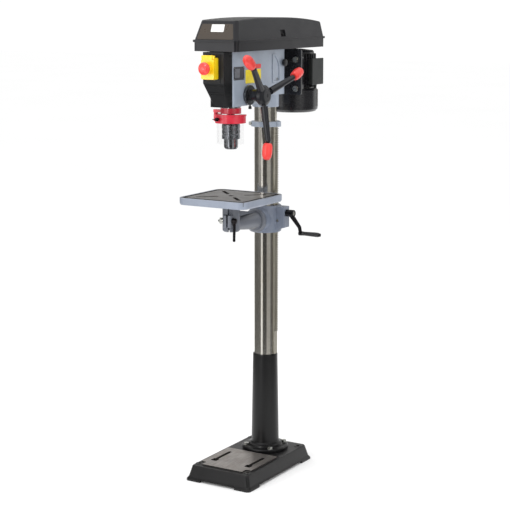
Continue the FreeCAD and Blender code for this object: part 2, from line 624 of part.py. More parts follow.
# ---- belt cover ---------------------------------------------------------
def cover_tray():
    x, y0, y1 = COVER_X, COVER_Y0, COVER_Y1
    z0 = HEAD_Z1
    outer = loft(outline(-x, y0, x, y1, COVER_R, z0), outline(-x, y0, x, y1, COVER_R, SEAM_Z - 0.3))
    rim = slab(-x - 5, y0 - 5, x + 5, y1 + 5, COVER_R + 4, SEAM_Z - 4, SEAM_Z - 0.3)
    inner = slab(-x + 3, y0 + 3, x - 3, y1 - 3, COVER_R - 3, z0 + 3, SEAM_Z + 1)
    body = fuse(outer, rim).cut(inner)
    lug = rod(9, (COVER_X - 10, LID_SCREW_Y, SEAM_Z - 16), (COVER_X - 10, LID_SCREW_Y, SEAM_Z - 3))
    pads = [rod(8, (sx, sy, z0 + 2), (sx, sy, z0 + 8)) for sx, sy in TRAY_SCREWS]
    body = fuse(body, lug, *pads)
    for y in HINGE_YS:
        leaf = block(LID_AXIS_X - 4.5, y - 8, SEAM_Z - 16, -x + 1, y + 8, SEAM_Z - 5)
        knuckle = rod(4.5, (LID_AXIS_X, y - 8, LID_AXIS_Z), (LID_AXIS_X, y + 8, LID_AXIS_Z))
        post = block(LID_AXIS_X - 4.5, y - 8, SEAM_Z - 8, LID_AXIS_X + 4.5, y + 8, SEAM_Z)
        body = fuse(body, leaf, knuckle, post)
        body = body.cut(rod(2.0, (LID_AXIS_X, y - 20, LID_AXIS_Z), (LID_AXIS_X, y + 20, LID_AXIS_Z)))
    holes = [
        rod(22, (0, SP_Y, z0 - 1), (0, SP_Y, z0 + 5)),
        rod(12, (0, IDLER_Y, z0 - 1), (0, IDLER_Y, z0 + 5)),
        slab(-14, MOTOR_Y - 28, 14, MOTOR_Y + 14, 13.9, z0 - 1, z0 + 5),
        rod(4, (COVER_X - 10, LID_SCREW_Y, z0), (COVER_X - 10, LID_SCREW_Y, SEAM_Z + 1)),
    ]
    holes[3] = holes[3].common(block(0, -400, SEAM_Z - 17, 200, 400, SEAM_Z + 2))
    body = cut(body, *holes)
    for sx, sy in TRAY_SCREWS:
        body = body.cut(rod(3, (sx, sy, z0 - 1), (sx, sy, z0 + 10)))
    return body


def lid_form(inset):
    """The lid's outer form, or with an inset the room inside it."""
    x, y0, y1 = COVER_X - inset, COVER_Y0 + inset, COVER_Y1 - inset
    low, mid, high = SEAM_Z + (-1 if inset else 0), 1592.0, 1650.0
    drop = inset
    sides = loft(
        outline(-x, y0, x, y1, COVER_R - inset, low),
        outline(-x + 12, y0 + 20, x - 12, y1 - 5, COVER_R - 1 - inset, mid),
        outline(-x + 25, y0 + 42, x - 25, y1 - 10, COVER_R - 3 - inset, high),
    )
    top = [
        V(-120, COVER_Y0 - 30, 1602 - drop), V(-120, COVER_Y0 + 60, 1608 - drop), V(-120, 120, 1612 - drop),
        V(-120, COVER_Y1 - 60, 1600 - drop), V(-120, COVER_Y1 + 20, 1589 - drop),
    ]
    curve = Part.BSplineCurve()
    curve.interpolate(top)
    down0, down1 = V(-120, top[-1].y, 1500), V(-120, top[0].y, 1500)
    wire = Part.Wire([
        curve.toShape(),
        Part.LineSegment(top[-1], down0).toShape(),
        Part.LineSegment(down0, down1).toShape(),
        Part.LineSegment(down1, top[0]).toShape(),
    ])
    return sides.common(Part.Face(wire).extrude(V(240, 0, 0)))


def cover_lid():
    outer = lid_form(0)
    top_edges = []
    for edge in outer.Edges:
        box = edge.BoundBox
        if box.ZMin > 1578 and edge.Length > 20:
            top_edges.append(edge)
    try:
        outer = outer.makeFillet(6, top_edges)
    except Part.OCCError:
        print("lid fillet skipped")
    rim = slab(-COVER_X - 5, COVER_Y0 - 5, COVER_X + 5, COVER_Y1 + 5, COVER_R + 4, SEAM_Z, SEAM_Z + 3.5)
    body = fuse(outer, rim).cut(lid_form(3))
    pocket = rod(19, (COVER_X - 6, LID_SCREW_Y, SEAM_Z + 1), (COVER_X - 6, LID_SCREW_Y, 1580)).common(lid_form(0))
    body = fuse(body, pocket)
    scoop = rod(15.5, (COVER_X - 5, LID_SCREW_Y, SEAM_Z + 9), (COVER_X - 5, LID_SCREW_Y, 1570))
    body = body.cut(scoop)
    body = body.cut(rod(3.1, (COVER_X - 10, LID_SCREW_Y, SEAM_Z - 2), (COVER_X - 10, LID_SCREW_Y, 1570)))
    for y in HINGE_YS:
        for s in (-1, 1):
            a, b = sorted((y + s * 8.5, y + s * 18))
            knuckle = rod(4.5, (LID_AXIS_X, a, LID_AXIS_Z), (LID_AXIS_X, b, LID_AXIS_Z))
            leaf = block(LID_AXIS_X - 4.5, a, LID_AXIS_Z, -COVER_X + 1, b, LID_AXIS_Z + 5)
            body = fuse(body, knuckle, leaf)
        body = body.cut(rod(2.06, (LID_AXIS_X, y - 20, LID_AXIS_Z), (LID_AXIS_X, y + 20, LID_AXIS_Z)))
    return body


def lid_screw():
    x, y = COVER_X - 10, LID_SCREW_Y
    stem = rod(3, (x, y, SEAM_Z - 11), (x, y, SEAM_Z + 12))
    head = turned([(0, 0), (7, 0), (8, 1), (8, 9), (7, 11), (0, 11)], (x, y, SEAM_Z + 9.2))
    head = head.cut(block(x - 9, y - 1, SEAM_Z + 18.5, x + 9, y + 1, SEAM_Z + 22))
    return fuse(stem, head)


def lid_hinge_pins():
    return [rod(1.98, (LID_AXIS_X, y - 19, LID_AXIS_Z), (LID_AXIS_X, y + 19, LID_AXIS_Z)) for y in HINGE_YS]


# ---- pulleys and belts --------------------------------------------------
def pulley(radii, centre_y, bore, hub_r, hub_z):
    """A stepped V pulley; radii run from the bottom step to the top one."""
    z = PULLEY_Z
    profile = [(bore, hub_z), (hub_r, hub_z), (hub_r, z)]
    for radius in radii:
        profile += [(radius + 3, z), (radius + 3, z + 1.6), (radius - 5, z + 4.4), (radius - 5, z + 9.6),
                    (radius + 3, z + 12.4), (radius + 3, z + STEP_H - 2)]
        z += STEP_H
    top = z - 2
    profile += [(radii[-1] - 8, top), (bore + 8, top), (bore + 8, top + 4), (bore, top + 4)]
    clean = []
    for point in profile:
        if not clean or point != clean[-1]:
            clean.append(point)
    return turned(clean, (0, centre_y, 0))


def spindle_pulley():
    body = pulley(STEPS, SP_Y, 9.3, 16.95, 1478)
    keys = [spun(block(8.4, SP_Y - 2, 1480, 11, SP_Y + 2, 1582), a, (0, SP_Y, 0), (0, 0, 1))
            for a in (0, 90, 180, 270)]
    return fuse(body, *keys)


def idler_pulley():
    return pulley(STEPS[::-1], IDLER_Y, 8.06, 14, PULLEY_Z - 3)


def motor_pulley():
    return pulley(STEPS, MOTOR_Y, 7.02, 13, PULLEY_Z - 4)


def pulley_bearing():
    return tube(26, 17.0, (0, SP_Y, 1484.2), (0, SP_Y, 1499))


def idler_post():
    y = IDLER_Y
    return fuse(
        rod(8, (0, y, 1447), (0, y, 1592)),
        rod(11.5, (0, y, HEAD_Z1), (0, y, PULLEY_Z - 3.4)),
        rod(12, (0, y, 1585.5), (0, y, 1590)),
    )


def belt_loop(y_a, r_a, y_b, r_b, grow, z):
    """The outline of a belt round two pulleys, grown outwards, as a wire at height z."""
    tilt = math.asin((r_a - r_b) / (y_b - y_a))
    ra, rb = r_a + grow, r_b + grow
    c, s = math.cos(tilt), math.sin(tilt)
    a1, b1 = V(ra * c, y_a + ra * s, z), V(rb * c, y_b + rb * s, z)
    a2, b2 = V(-ra * c, y_a + ra * s, z), V(-rb * c, y_b + rb * s, z)
    return Part.Wire([
        Part.LineSegment(a1, b1).toShape(),
        Part.Arc(b1, V(0, y_b + rb, z), b2).toShape(),
        Part.LineSegment(b2, a2).toShape(),
        Part.Arc(a2, V(0, y_a - ra, z), a1).toShape(),
    ])


def v_belt(y_a, r_a, y_b, r_b, z):
    """A V belt as three stacked bands, each wider than the one inside it, just clear of its grooves."""
    bands = []
    for inside, outside, half in ((-4.1, -1.5, 2.2), (-1.5, 1.1, 3.0), (1.1, 3.5, 3.7)):
        outer = Part.Face(belt_loop(y_a, r_a, y_b, r_b, outside, z - half)).extrude(V(0, 0, 2 * half))
        inner = Part.Face(belt_loop(y_a, r_a, y_b, r_b, inside, z - half - 1)).extrude(V(0, 0, 2 * half + 2))
        bands.append(outer.cut(inner))
    return fuse(*bands)


def front_belt():
    return v_belt(SP_Y, STEPS[1], IDLER_Y, STEPS[2], PULLEY_Z + STEP_H + 7)


def rear_belt():
    return v_belt(IDLER_Y, STEPS[0], MOTOR_Y, STEPS[3], PULLEY_Z + 3 * STEP_H + 7)


# ---- quill, spindle, chuck ---------------------------------------------
def quill():
    z0, z1 = QUILL_Z0, QUILL_Z1
    body = turned([(14.6, z0), (QUILL_R - 1, z0), (QUILL_R, z0 + 1), (QUILL_R, z1 - 1), (QUILL_R - 1, z1), (14.6, z1)],
                  (0, SP_Y, 0))
    body = body.cut(rod(17.6, (0, SP_Y, z0 + 3), (0, SP_Y, z0 + 18)))
    body = body.cut(rod(17.6, (0, SP_Y, z1 - 18), (0, SP_Y, z1 - 3)))
    line_y = SP_Y + RACK_LINE
    body = body.cut(block(-12, line_y + 1.5, z0 + 40, 12, line_y + 8, z1 - 8))
    pitch = math.pi * FEED_MODULE
    half = pitch / 4 + 0.3
    slope = math.tan(PRESSURE)
    for k in range(-2, 12):
        z = PINION_Z + k * pitch
        gap = [(-16, line_y - 2.8, z - half + 2.8 * slope), (-16, line_y + 3, z - half - 3 * slope),
               (-16, line_y + 3, z + half + 3 * slope), (-16, line_y - 2.8, z + half - 2.8 * slope)]
        body = body.cut(polygon(gap, (32, 0, 0)))
    return body


def quill_bearings():
    return [
        tube(17.55, 11.06, (0, SP_Y, QUILL_Z0 + 3.2), (0, SP_Y, QUILL_Z0 + 17.8)),
        tube(17.55, 11.06, (0, SP_Y, QUILL_Z1 - 17.8), (0, SP_Y, QUILL_Z1 - 3.2)),
    ]


def spindle():
    z0, z1 = QUILL_Z0, QUILL_Z1
    body = turned(
        [(0, 1232), (8, 1232), (9, CHUCK_Z1 - 2), (9, CHUCK_Z1 + 0.3), (14, CHUCK_Z1 + 0.3), (14, z0 + 2.6),
         (11, z0 + 2.9), (11, z1 + 2), (8.8, z1 + 4), (8.8, 1588), (8, 1589), (0, 1589)],
        (0, SP_Y, 0),
    )
    for a in (0, 90, 180, 270):
        groove = block(7.9, SP_Y - 2.4, z1 + 4, 12, SP_Y + 2.4, 1592)
        body = body.cut(spun(groove, a, (0, SP_Y, 0), (0, 0, 1)))
    return body


def chuck_body():
    z0 = CHUCK_Z0
    body = turned(
        [(0, z0), (19, z0), (22.5, z0 + 3.5), (24, z0 + 8), (24, z0 + 33.5), (20, z0 + 33.7), (20, CHUCK_Z1 - 4),
         (26, CHUCK_Z1 - 3.8), (27, CHUCK_Z1 - 2.5), (25, CHUCK_Z1), (0, CHUCK_Z1)],
        (0, SP_Y, 0),
    )
    body = body.cut(turned([(0, 1230), (8.05, 1230), (9.05, CHUCK_Z1 - 1.9), (9.3, CHUCK_Z1 + 1), (0, CHUCK_Z1 + 1)],
                           (0, SP_Y, 0)))
    body = body.cut(rod(CHUCK_BORE, (0, SP_Y, z0 - 1), (0, SP_Y, z0 + 50)))
    for i in range(3):
        body = body.cut(jaw_form(i, 3.48, -14, 34))
        key_hole = rod(3.2, (14, SP_Y, z0 + 27), (30, SP_Y, z0 + 27))
        body = body.cut(spun(key_hole, 60 + 120 * i, (0, SP_Y, 0), (0, 0, 1)))
    return body


def jaw_form(index, radius, start, end):
    """A slanting cylinder, one of three round the spindle axis."""
    tilt = math.radians(JAW_TILT)
    foot_x, foot_z = 9.2, CHUCK_Z0 + 1.5
    a = (foot_x + start * math.sin(tilt), 0, foot_z + start * math.cos(tilt))
    b = (foot_x + end * math.sin(tilt), 0, foot_z + end * math.cos(tilt))
    pin = rod(radius, a, b)
    pin.rotate(V(0, 0, 0), V(0, 0, 1), 120 * index)
    pin.translate(V(0, SP_Y, 0))
    return pin


def chuck_jaw(index):
    jaw = jaw_form(index, 3.4, 0, 31)
    flat = block(-5.75, -8, CHUCK_Z0 - 20, 5.75, 8, CHUCK_Z0 + 60)
    flat.translate(V(0, SP_Y, 0))
    flat.rotate(V(0, SP_Y, 0), V(0, 0, 1), 120 * index)
    foot = block(-30, SP_Y - 30, CHUCK_Z0 - 20, 30, SP_Y + 30, CHUCK_Z0 + 0.8)
    return cut(jaw, flat, foot)


def chuck_sleeve():
    z0, z1 = CHUCK_Z0 + 34.0, CHUCK_Z1 - 4.3
    band = (z1 - z0) / 3
    profile = [(20.1, z0), (28, z0)]
    for k in range(3):
        a = z0 + k * band
        profile += [(30, a + 0.8), (31, a + 2), (31, a + band - 2.6), (29.4, a + band - 1.4), (29.4, a + band - 0.2)]
    profile += [(28, z1), (20.1, z1)]
    body = turned(profile, (0, SP_Y, 0))
    teeth = 24
    for i in range(teeth):
        notch = polygon([(26.5, SP_Y - 0.6, z0 - 1), (33, SP_Y - 2.2, z0 - 1), (33, SP_Y - 2.2, z0 + 5),
                         (26.5, SP_Y - 0.6, z0 + 2)], (0, 2.4, 0))
        body = body.cut(spun(notch, 360 / teeth * i, (0, SP_Y, 0), (0, 0, 1)))
    return body


# ---- chuck guard --------------------------------------------------------
def guard_clamp():
    z0, z1 = 1293.0, 1312.0
    ring = tube(35, QUILL_R + 0.02, (0, SP_Y, z0), (0, SP_Y, z1))
    arm = slab(GUARD_X - 7, SP_Y - 8, -28, SP_Y + 8, 3, z0 + 2, z0 + 12)
    ear = slab(-9, SP_Y + 28, 9, SP_Y + 48, 3, z0, z1)
    body = fuse(ring, arm, ear)
    body = body.cut(rod(QUILL_R + 0.02, (0, SP_Y, z0 - 1), (0, SP_Y, z1 + 1)))
    body = body.cut(block(-1.5, SP_Y + 20, z0 - 1, 1.5, SP_Y + 60, z1 + 1))
    pin = rod(3, (GUARD_X, SP_Y, z0 + 3), (GUARD_X, SP_Y, 1264))
    return fuse(body, pin)


def arc_wall(inner, outer, z0, z1, start, end):
    """Part of a ring about the spindle; angles in degrees from +X."""
    width = end - start
    face = Part.Face(Part.makePolygon([V(inner, 0, z0), V(outer, 0, z0), V(outer, 0, z1), V(inner, 0, z1),
                                       V(inner, 0, z0)]))
    wall = face.revolve(V(0, 0, 0), V(0, 0, 1), width)
    wall.rotate(V(0, 0, 0), V(0, 0, 1), start)
    wall.translate(V(0, SP_Y, 0))
    return wall


def guard_bracket():
    band = arc_wall(49, 54, 1262, 1287, 178, 372)
    lip = arc_wall(37, 56, 1286, 1291.5, 178, 372)
    knuckle = rod(7, (GUARD_X, SP_Y, 1266), (GUARD_X, SP_Y, 1294.6))
    lug = slab(GUARD_X, SP_Y - 16, -48, SP_Y + 3, 2, 1266, 1290)
    body = fuse(band, lip, knuckle, lug)
    body = cut(body, rod(49, (0, SP_Y, 1260), (0, SP_Y, 1286)), rod(37, (0, SP_Y, 1260), (0, SP_Y, 1300)))
    return body.cut(rod(3.06, (GUARD_X, SP_Y, 1255), (GUARD_X, SP_Y, 1300)))


def guard_shield():
    return arc_wall(46.4, 48.9, 1192, 1282, 186, 368)


# ---- feed ---------------------------------------------------------------
def feed_pinion():
    wheel = gear(FEED_TEETH, FEED_MODULE, 2.2, 2.5, 0.6, 30)
    wheel.rotate(V(0, 0, 0), V(0, 1, 0), 90)
    wheel.rotate(V(0, 0, 0), V(1, 0, 0), -90)
    wheel.translate(V(0, PINION_Y, PINION_Z))
    shaft = fuse(
        rod(9, (-74, PINION_Y, PINION_Z), (0, PINION_Y, PINION_Z)),
        rod(10.5, (0, PINION_Y, PINION_Z), (20, PINION_Y, PINION_Z)),
        rod(FEED_R + 2.74, (20, PINION_Y, PINION_Z), (HEAD_X - 0.5, PINION_Y, PINION_Z)),
        rod(11, (HEAD_X - 1, PINION_Y, PINION_Z), (HUB_X0 + 12, PINION_Y, PINION_Z)),
    )
    return fuse(wheel, shaft)


def depth_ring():
    body = turned(
        [(11.1, 0), (26, 0), (33, 1), (33.5, 3), (33.5, 9), (31, 11), (24, 11), (22, 13), (18, 13), (17, 15), (11.1, 15)],
        (HEAD_X + 0.6, PINION_Y, PINION_Z), (1, 0, 0),
    )
    lock = rod(3, (HEAD_X + 7, PINION_Y, PINION_Z - 30), (HEAD_X + 7, PINION_Y, PINION_Z - 41))
    head = rod(5.5, (HEAD_X + 7, PINION_Y, PINION_Z - 38), (HEAD_X + 7, PINION_Y, PINION_Z - 47))
    return fuse(body, lock, head)


def feed_hub():
    body = turned(
        [(0, HUB_X0 + 12), (11.02, HUB_X0 + 12), (11.02, 64), (18, 64), (20, 66), (22, HUB_X0 - 3), (31, HUB_X0 + 2),
         (35, HUB_X0 + 8), (35, HUB_X0 + 20), (31, HUB_X1 - 4), (22, HUB_X1), (8, HUB_X1), (6, HUB_X1 - 2),
         (0, HUB_X1 - 2)],
        (0, PINION_Y, PINION_Z), (1, 0, 0),
    )
    for a in LEVER_ANGLES:
        body = body.cut(rod(7.02, lever_axis(a, 20), lever_axis(a, 60)))
    return body


def lever_axis(angle, distance):
    """A point on a feed lever's axis, which leans out as far as its knee and then stays upright."""
    a = math.radians(angle)
    x = HUB_X0 + 13 + KNEE_X * min(distance, KNEE) / KNEE
    return (x, PINION_Y + distance * math.cos(a), PINION_Z + distance * math.sin(a))


def feed_levers():
    levers = []
    for a in LEVER_ANGLES:
        stub = rod(7, lever_axis(a, 22), lever_axis(a, 40))
        bar = cone(12.5, 9.5, lever_axis(a, 37), lever_axis(a, KNEE))
        knee = Part.makeSphere(9.5, V(*lever_axis(a, KNEE)))
        thread = rod(5, lever_axis(a, KNEE), lever_axis(a, GRIP_END - 16))
        levers.append(fuse(stub, bar, knee, thread))
    return levers


def feed_grips():
    grips = []
    for a in LEVER_ANGLES:
        p, q = V(*lever_axis(a, KNEE + 9)), V(*lever_axis(a, GRIP_END))
        length = (q - p).Length
        shape = [(5.02, 0), (12, 0), (14.5, 3), (16.5, 10), (17.5, 22), (17, 36), (15, 46), (10, length - 2),
                 (5, length), (0, length), (0, length - 15), (5.02, length - 15)]
        grips.append(turned(shape, tuple(p), tuple(q - p)))
    return grips


def spring_housing():
    x = -HEAD_X - 3.2
    body = turned([(9.3, 0), (31, 0), (32, 1), (32, 24), (30, 27), (9.3, 27)], (x, PINION_Y, PINION_Z), (-1, 0, 0))
    room = turned([(9.2, -1), (28, -1), (28, 23), (9.2, 23)], (x, PINION_Y, PINION_Z), (-1, 0, 0))
    body = body.cut(room)
    for a in (0, 90, 180, 270):
        notch = block(x - 34, PINION_Y - 3, PINION_Z + 28, x - 22, PINION_Y + 3, PINION_Z + 36)
        body = body.cut(spun(notch, a + 45, (0, PINION_Y, PINION_Z), (1, 0, 0)))
    return body


def return_spring():
    """A flat spiral strip round the feed shaft, inside its housing."""
    turns = 6
    rings = []
    for k in range(turns):
        r = 11 + 2.6 * k
        rings.append(tube(r + 1.0, r, (-HEAD_X - 22, PINION_Y, PINION_Z), (-HEAD_X - 6, PINION_Y, PINION_Z)))
    bridges = block(-HEAD_X - 22, PINION_Y - 1, PINION_Z + 11, -HEAD_X - 6, PINION_Y + 1, PINION_Z + 11 + 2.6 * turns)
    return fuse(*rings, bridges)


# ---- motor --------------------------------------------------------------
def motor_plate():
    body = slab_y(-72, 84, 1338, 1500, 8, PLATE_Y, PLATE_Y + 8)
    return cut(
        body,
        *[rod(BAR_R + 0.05, (s * BAR_X, PLATE_Y - 1, BAR_Z), (s * BAR_X, PLATE_Y + 9, BAR_Z)) for s in (-1, 1)],
        *[rod(5.1, (x, PLATE_Y - 1, z), (x, PLATE_Y + 9, z)) for x, z in MOTOR_BOLTS],
    )


def slide_bars():
    return [
        rod(BAR_R, (s * BAR_X, 82, BAR_Z), (s * BAR_X, PLATE_Y + 8, BAR_Z)) for s in (-1, 1)
    ]


def motor_body():
    y = MOTOR_Y
    core = turned(
        [(66, 1356), (73, 1356), (73, 1486), (69, 1492), (30, 1497), (14, 1497), (14, 1488), (66, 1482)], (0, y, 0),
    )
    fins = []
    count = 40
    for i in range(count):
        fin = block(70, y - 1.6, 1362, MOTOR_R, y + 1.6, 1480)
        fins.append(spun(fin, 360 / count * i, (0, y, 0), (0, 0, 1)))
    foot = block(-62, PLATE_Y + 8, 1357, 74, y - 60, 1472)
    foot = foot.cut(block(-50, PLATE_Y + 20, 1340, 50, y - 40, 1480))
    foot = foot.cut(rod(72, (0, y, 1340), (0, y, 1480)))
    pad = block(60, y - 32, 1378, 80, y + 38, 1460).cut(rod(70, (0, y, 1340), (0, y, 1480)))
    floor = turned([(14, 1356), (66.5, 1356), (66.5, 1362), (14, 1362)], (0, y, 0))
    body = fuse(core, *fins, foot, pad, floor)
    for x, z in MOTOR_BOLTS:
        body = body.cut(rod(5.1, (x, PLATE_Y, z), (x, PLATE_Y + 32, z)))
    return body


def motor_bolts():
    return [hex_bolt(17, 7, 5, (x, PLATE_Y, z), (0, -1, 0), 26) for x, z in MOTOR_BOLTS]


def motor_fan_cover():
    y = MOTOR_Y
    outer = turned(
        [(0, 1271), (68, 1271), (80, 1274), (87, 1282), (88, 1292), (88, 1350), (82, 1355.8), (0, 1355.8)], (0, y, 0),
    )
    inner = turned([(0, 1274), (67, 1274), (78, 1277), (84, 1284), (85, 1292), (85, 1350), (81, 1357), (0, 1357)],
                   (0, y, 0))
    body = outer.cut(inner)
    for i in range(16):
        slot = slab(30, -2.2, 60, 2.2, 2.1, 1264, 1279)
        slot.rotate(V(0, 0, 0), V(0, 0, 1), 22.5 * i)
        slot.translate(V(0, y, 0))
        body = body.cut(slot)
    return body


def motor_rotor():
    y = MOTOR_Y
    shaft = fuse(rod(7, (0, y, 1300), (0, y, 1586)), rod(13.9, (0, y, 1363.5), (0, y, 1487)))
    armature = rod(58, (0, y, 1372), (0, y, 1470))
    disc = rod(40, (0, y, 1318), (0, y, 1322))
    blades = [spun(block(24, y - 1.5, 1320, 72, y + 1.5, 1345), 45 * i, (0, y, 0), (0, 0, 1)) for i in range(8)]
    return fuse(shaft, armature, disc, *blades, rod(16, (0, y, 1312), (0, y, 1346)))


def terminal_box():
    y = MOTOR_Y
    body = slab_y(80, 94, 1374, 1462, 4, y - 34, y + 40)
    lid = slab_y(91, 98, 1371, 1465, 3, y - 37, y + 43)
    gland = turned([(0, 0), (6.5, 0), (6.5, 6), (5.5, 7), (5.5, 15), (3.5, 18), (0, 18)], (88, y, 1374), (0, 0, -1))
    return fuse(body, lid, gland).cut(rod(2.6, (88, y, 1350), (88, y, 1385)))


def tension_knob():
    stem = rod(5, (BAR_X + BAR_R + 0.4, 143, BAR_Z), (HEAD_X + 8, 143, BAR_Z))
    head = turned([(0, 0), (8, 0), (12, 2), (13, 4), (13, 9), (11, 12), (5, 13), (0, 13)],
                  (HEAD_X + 4, 143, BAR_Z), (1, 0, 0))
    for i in range(6):
        flute = rod(3, (HEAD_X + 5, 143, BAR_Z + 15), (HEAD_X + 30, 143, BAR_Z + 15))
        head = head.cut(spun(flute, 60 * i, (0, 143, BAR_Z), (1, 0, 0)))
    return fuse(stem, head)


# ---- all pieces ---------------------------------------------------------
PIECES = {
    "base": base,
    "column_holder": column_holder,
    "flange_bolts": flange_bolts,
    "column": column,
    "rack": rack,
    "rack_collar": rack_collar,
    "set_screws": set_screws,
    "table_bracket": table_bracket,
    "column_clamp_lever": column_clamp_lever,
    "lift_gear": lift_gear,
    "crank_shaft": crank_shaft,
    "crank_arm": crank_arm,
    "crank_grip": crank_grip,
    "table_arm": table_arm,
    "arm_fasteners": arm_fasteners,
    "stem_clamp_lever": stem_clamp_lever,
    "table": table,
    "head_casting": head_casting,
    "nose_cover": nose_cover,
    "switch_box": switch_box,
    "switch_flap": switch_flap,
    "stop_button": stop_button,
    "start_button": start_button,
    "cover_tray": cover_tray,
    "cover_lid": cover_lid,
    "lid_screw": lid_screw,
    "lid_hinge_pins": lid_hinge_pins,
    "spindle_pulley": spindle_pulley,
    "idler_pulley": idler_pulley,
    "motor_pulley": motor_pulley,
    "pulley_bearing": pulley_bearing,
    "idler_post": idler_post,
    "front_belt": front_belt,
    "rear_belt": rear_belt,
    "quill": quill,
    "quill_bearings": quill_bearings,
    "spindle": spindle,
    "chuck_body": chuck_body,
    "chuck_sleeve": chuck_sleeve,
    "chuck_jaw_1": lambda: chuck_jaw(0),
    "chuck_jaw_2": lambda: chuck_jaw(1),
    "chuck_jaw_3": lambda: chuck_jaw(2),
    "guard_clamp": guard_clamp,
    "guard_bracket": guard_bracket,
    "guard_shield": guard_shield,
    "feed_pinion": feed_pinion,
    "depth_ring": depth_ring,
    "feed_hub": feed_hub,
    "feed_levers": feed_levers,
    "feed_grips": feed_grips,
    "spring_housing": spring_housing,
    "return_spring": return_spring,
    "motor_plate": motor_plate,
    "slide_bars": slide_bars,
    "motor_body": motor_body,
    "motor_bolts": motor_bolts,
    "motor_fan_cover": motor_fan_cover,
    "motor_rotor": motor_rotor,
    "terminal_box": terminal_box,
    "tension_knob": tension_knob,
}


def main():
    os.makedirs("parts", exist_ok=True)
    for name, make in PIECES.items():
        made = make()
        solids = []
        for shape in made if isinstance(made, list) else [made]:
            solids += shape.Solids
        whole = solids[0] if len(solids) == 1 else Part.makeCompound(solids)
        whole.exportStep(f"parts/{name}.step")
        box = whole.BoundBox
        print(f"{name:20s} solids {len(solids)} valid {whole.isValid()} volume {whole.Volume / 1000:9.1f} cm3 "
              f"x {box.XMin:.1f}..{box.XMax:.1f} y {box.YMin:.1f}..{box.YMax:.1f} z {box.ZMin:.1f}..{box.ZMax:.1f}")


main()
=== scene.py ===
"""Looks for the floor-standing pillar drill. Metres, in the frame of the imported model."""
import bmesh
import bpy
import math
from mathutils import Matrix, Vector


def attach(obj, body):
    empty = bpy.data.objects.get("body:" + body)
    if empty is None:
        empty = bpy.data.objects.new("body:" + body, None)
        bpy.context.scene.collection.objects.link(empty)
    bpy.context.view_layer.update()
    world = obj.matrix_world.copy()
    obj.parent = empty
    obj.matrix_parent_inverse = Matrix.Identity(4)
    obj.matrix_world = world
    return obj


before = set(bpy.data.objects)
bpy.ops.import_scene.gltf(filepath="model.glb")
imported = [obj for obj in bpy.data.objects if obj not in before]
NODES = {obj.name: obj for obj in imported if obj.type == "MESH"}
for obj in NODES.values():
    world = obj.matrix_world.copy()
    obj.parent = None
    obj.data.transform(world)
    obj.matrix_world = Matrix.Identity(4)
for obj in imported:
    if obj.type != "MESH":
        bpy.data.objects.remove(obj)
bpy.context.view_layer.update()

SPINDLE_Y = -0.122
PINION_Y, PINION_Z = -0.086, 1.355      # the feed shaft, which runs across the head
SIDE_X = 0.047                          # right face of the head casting
LID_FRONT_Y, SEAM_Z = -0.223, 1.538     # foot of the lid's front face


# ---- colour and shader helpers -----------------------------------------
def srgb(r, g, b):
    """An 8-bit sRGB colour as linear RGBA."""
    def channel(value):
        value /= 255
        return value / 12.92 if value <= 0.04045 else ((value + 0.055) / 1.055) ** 2.4
    return (channel(r), channel(g), channel(b), 1.0)


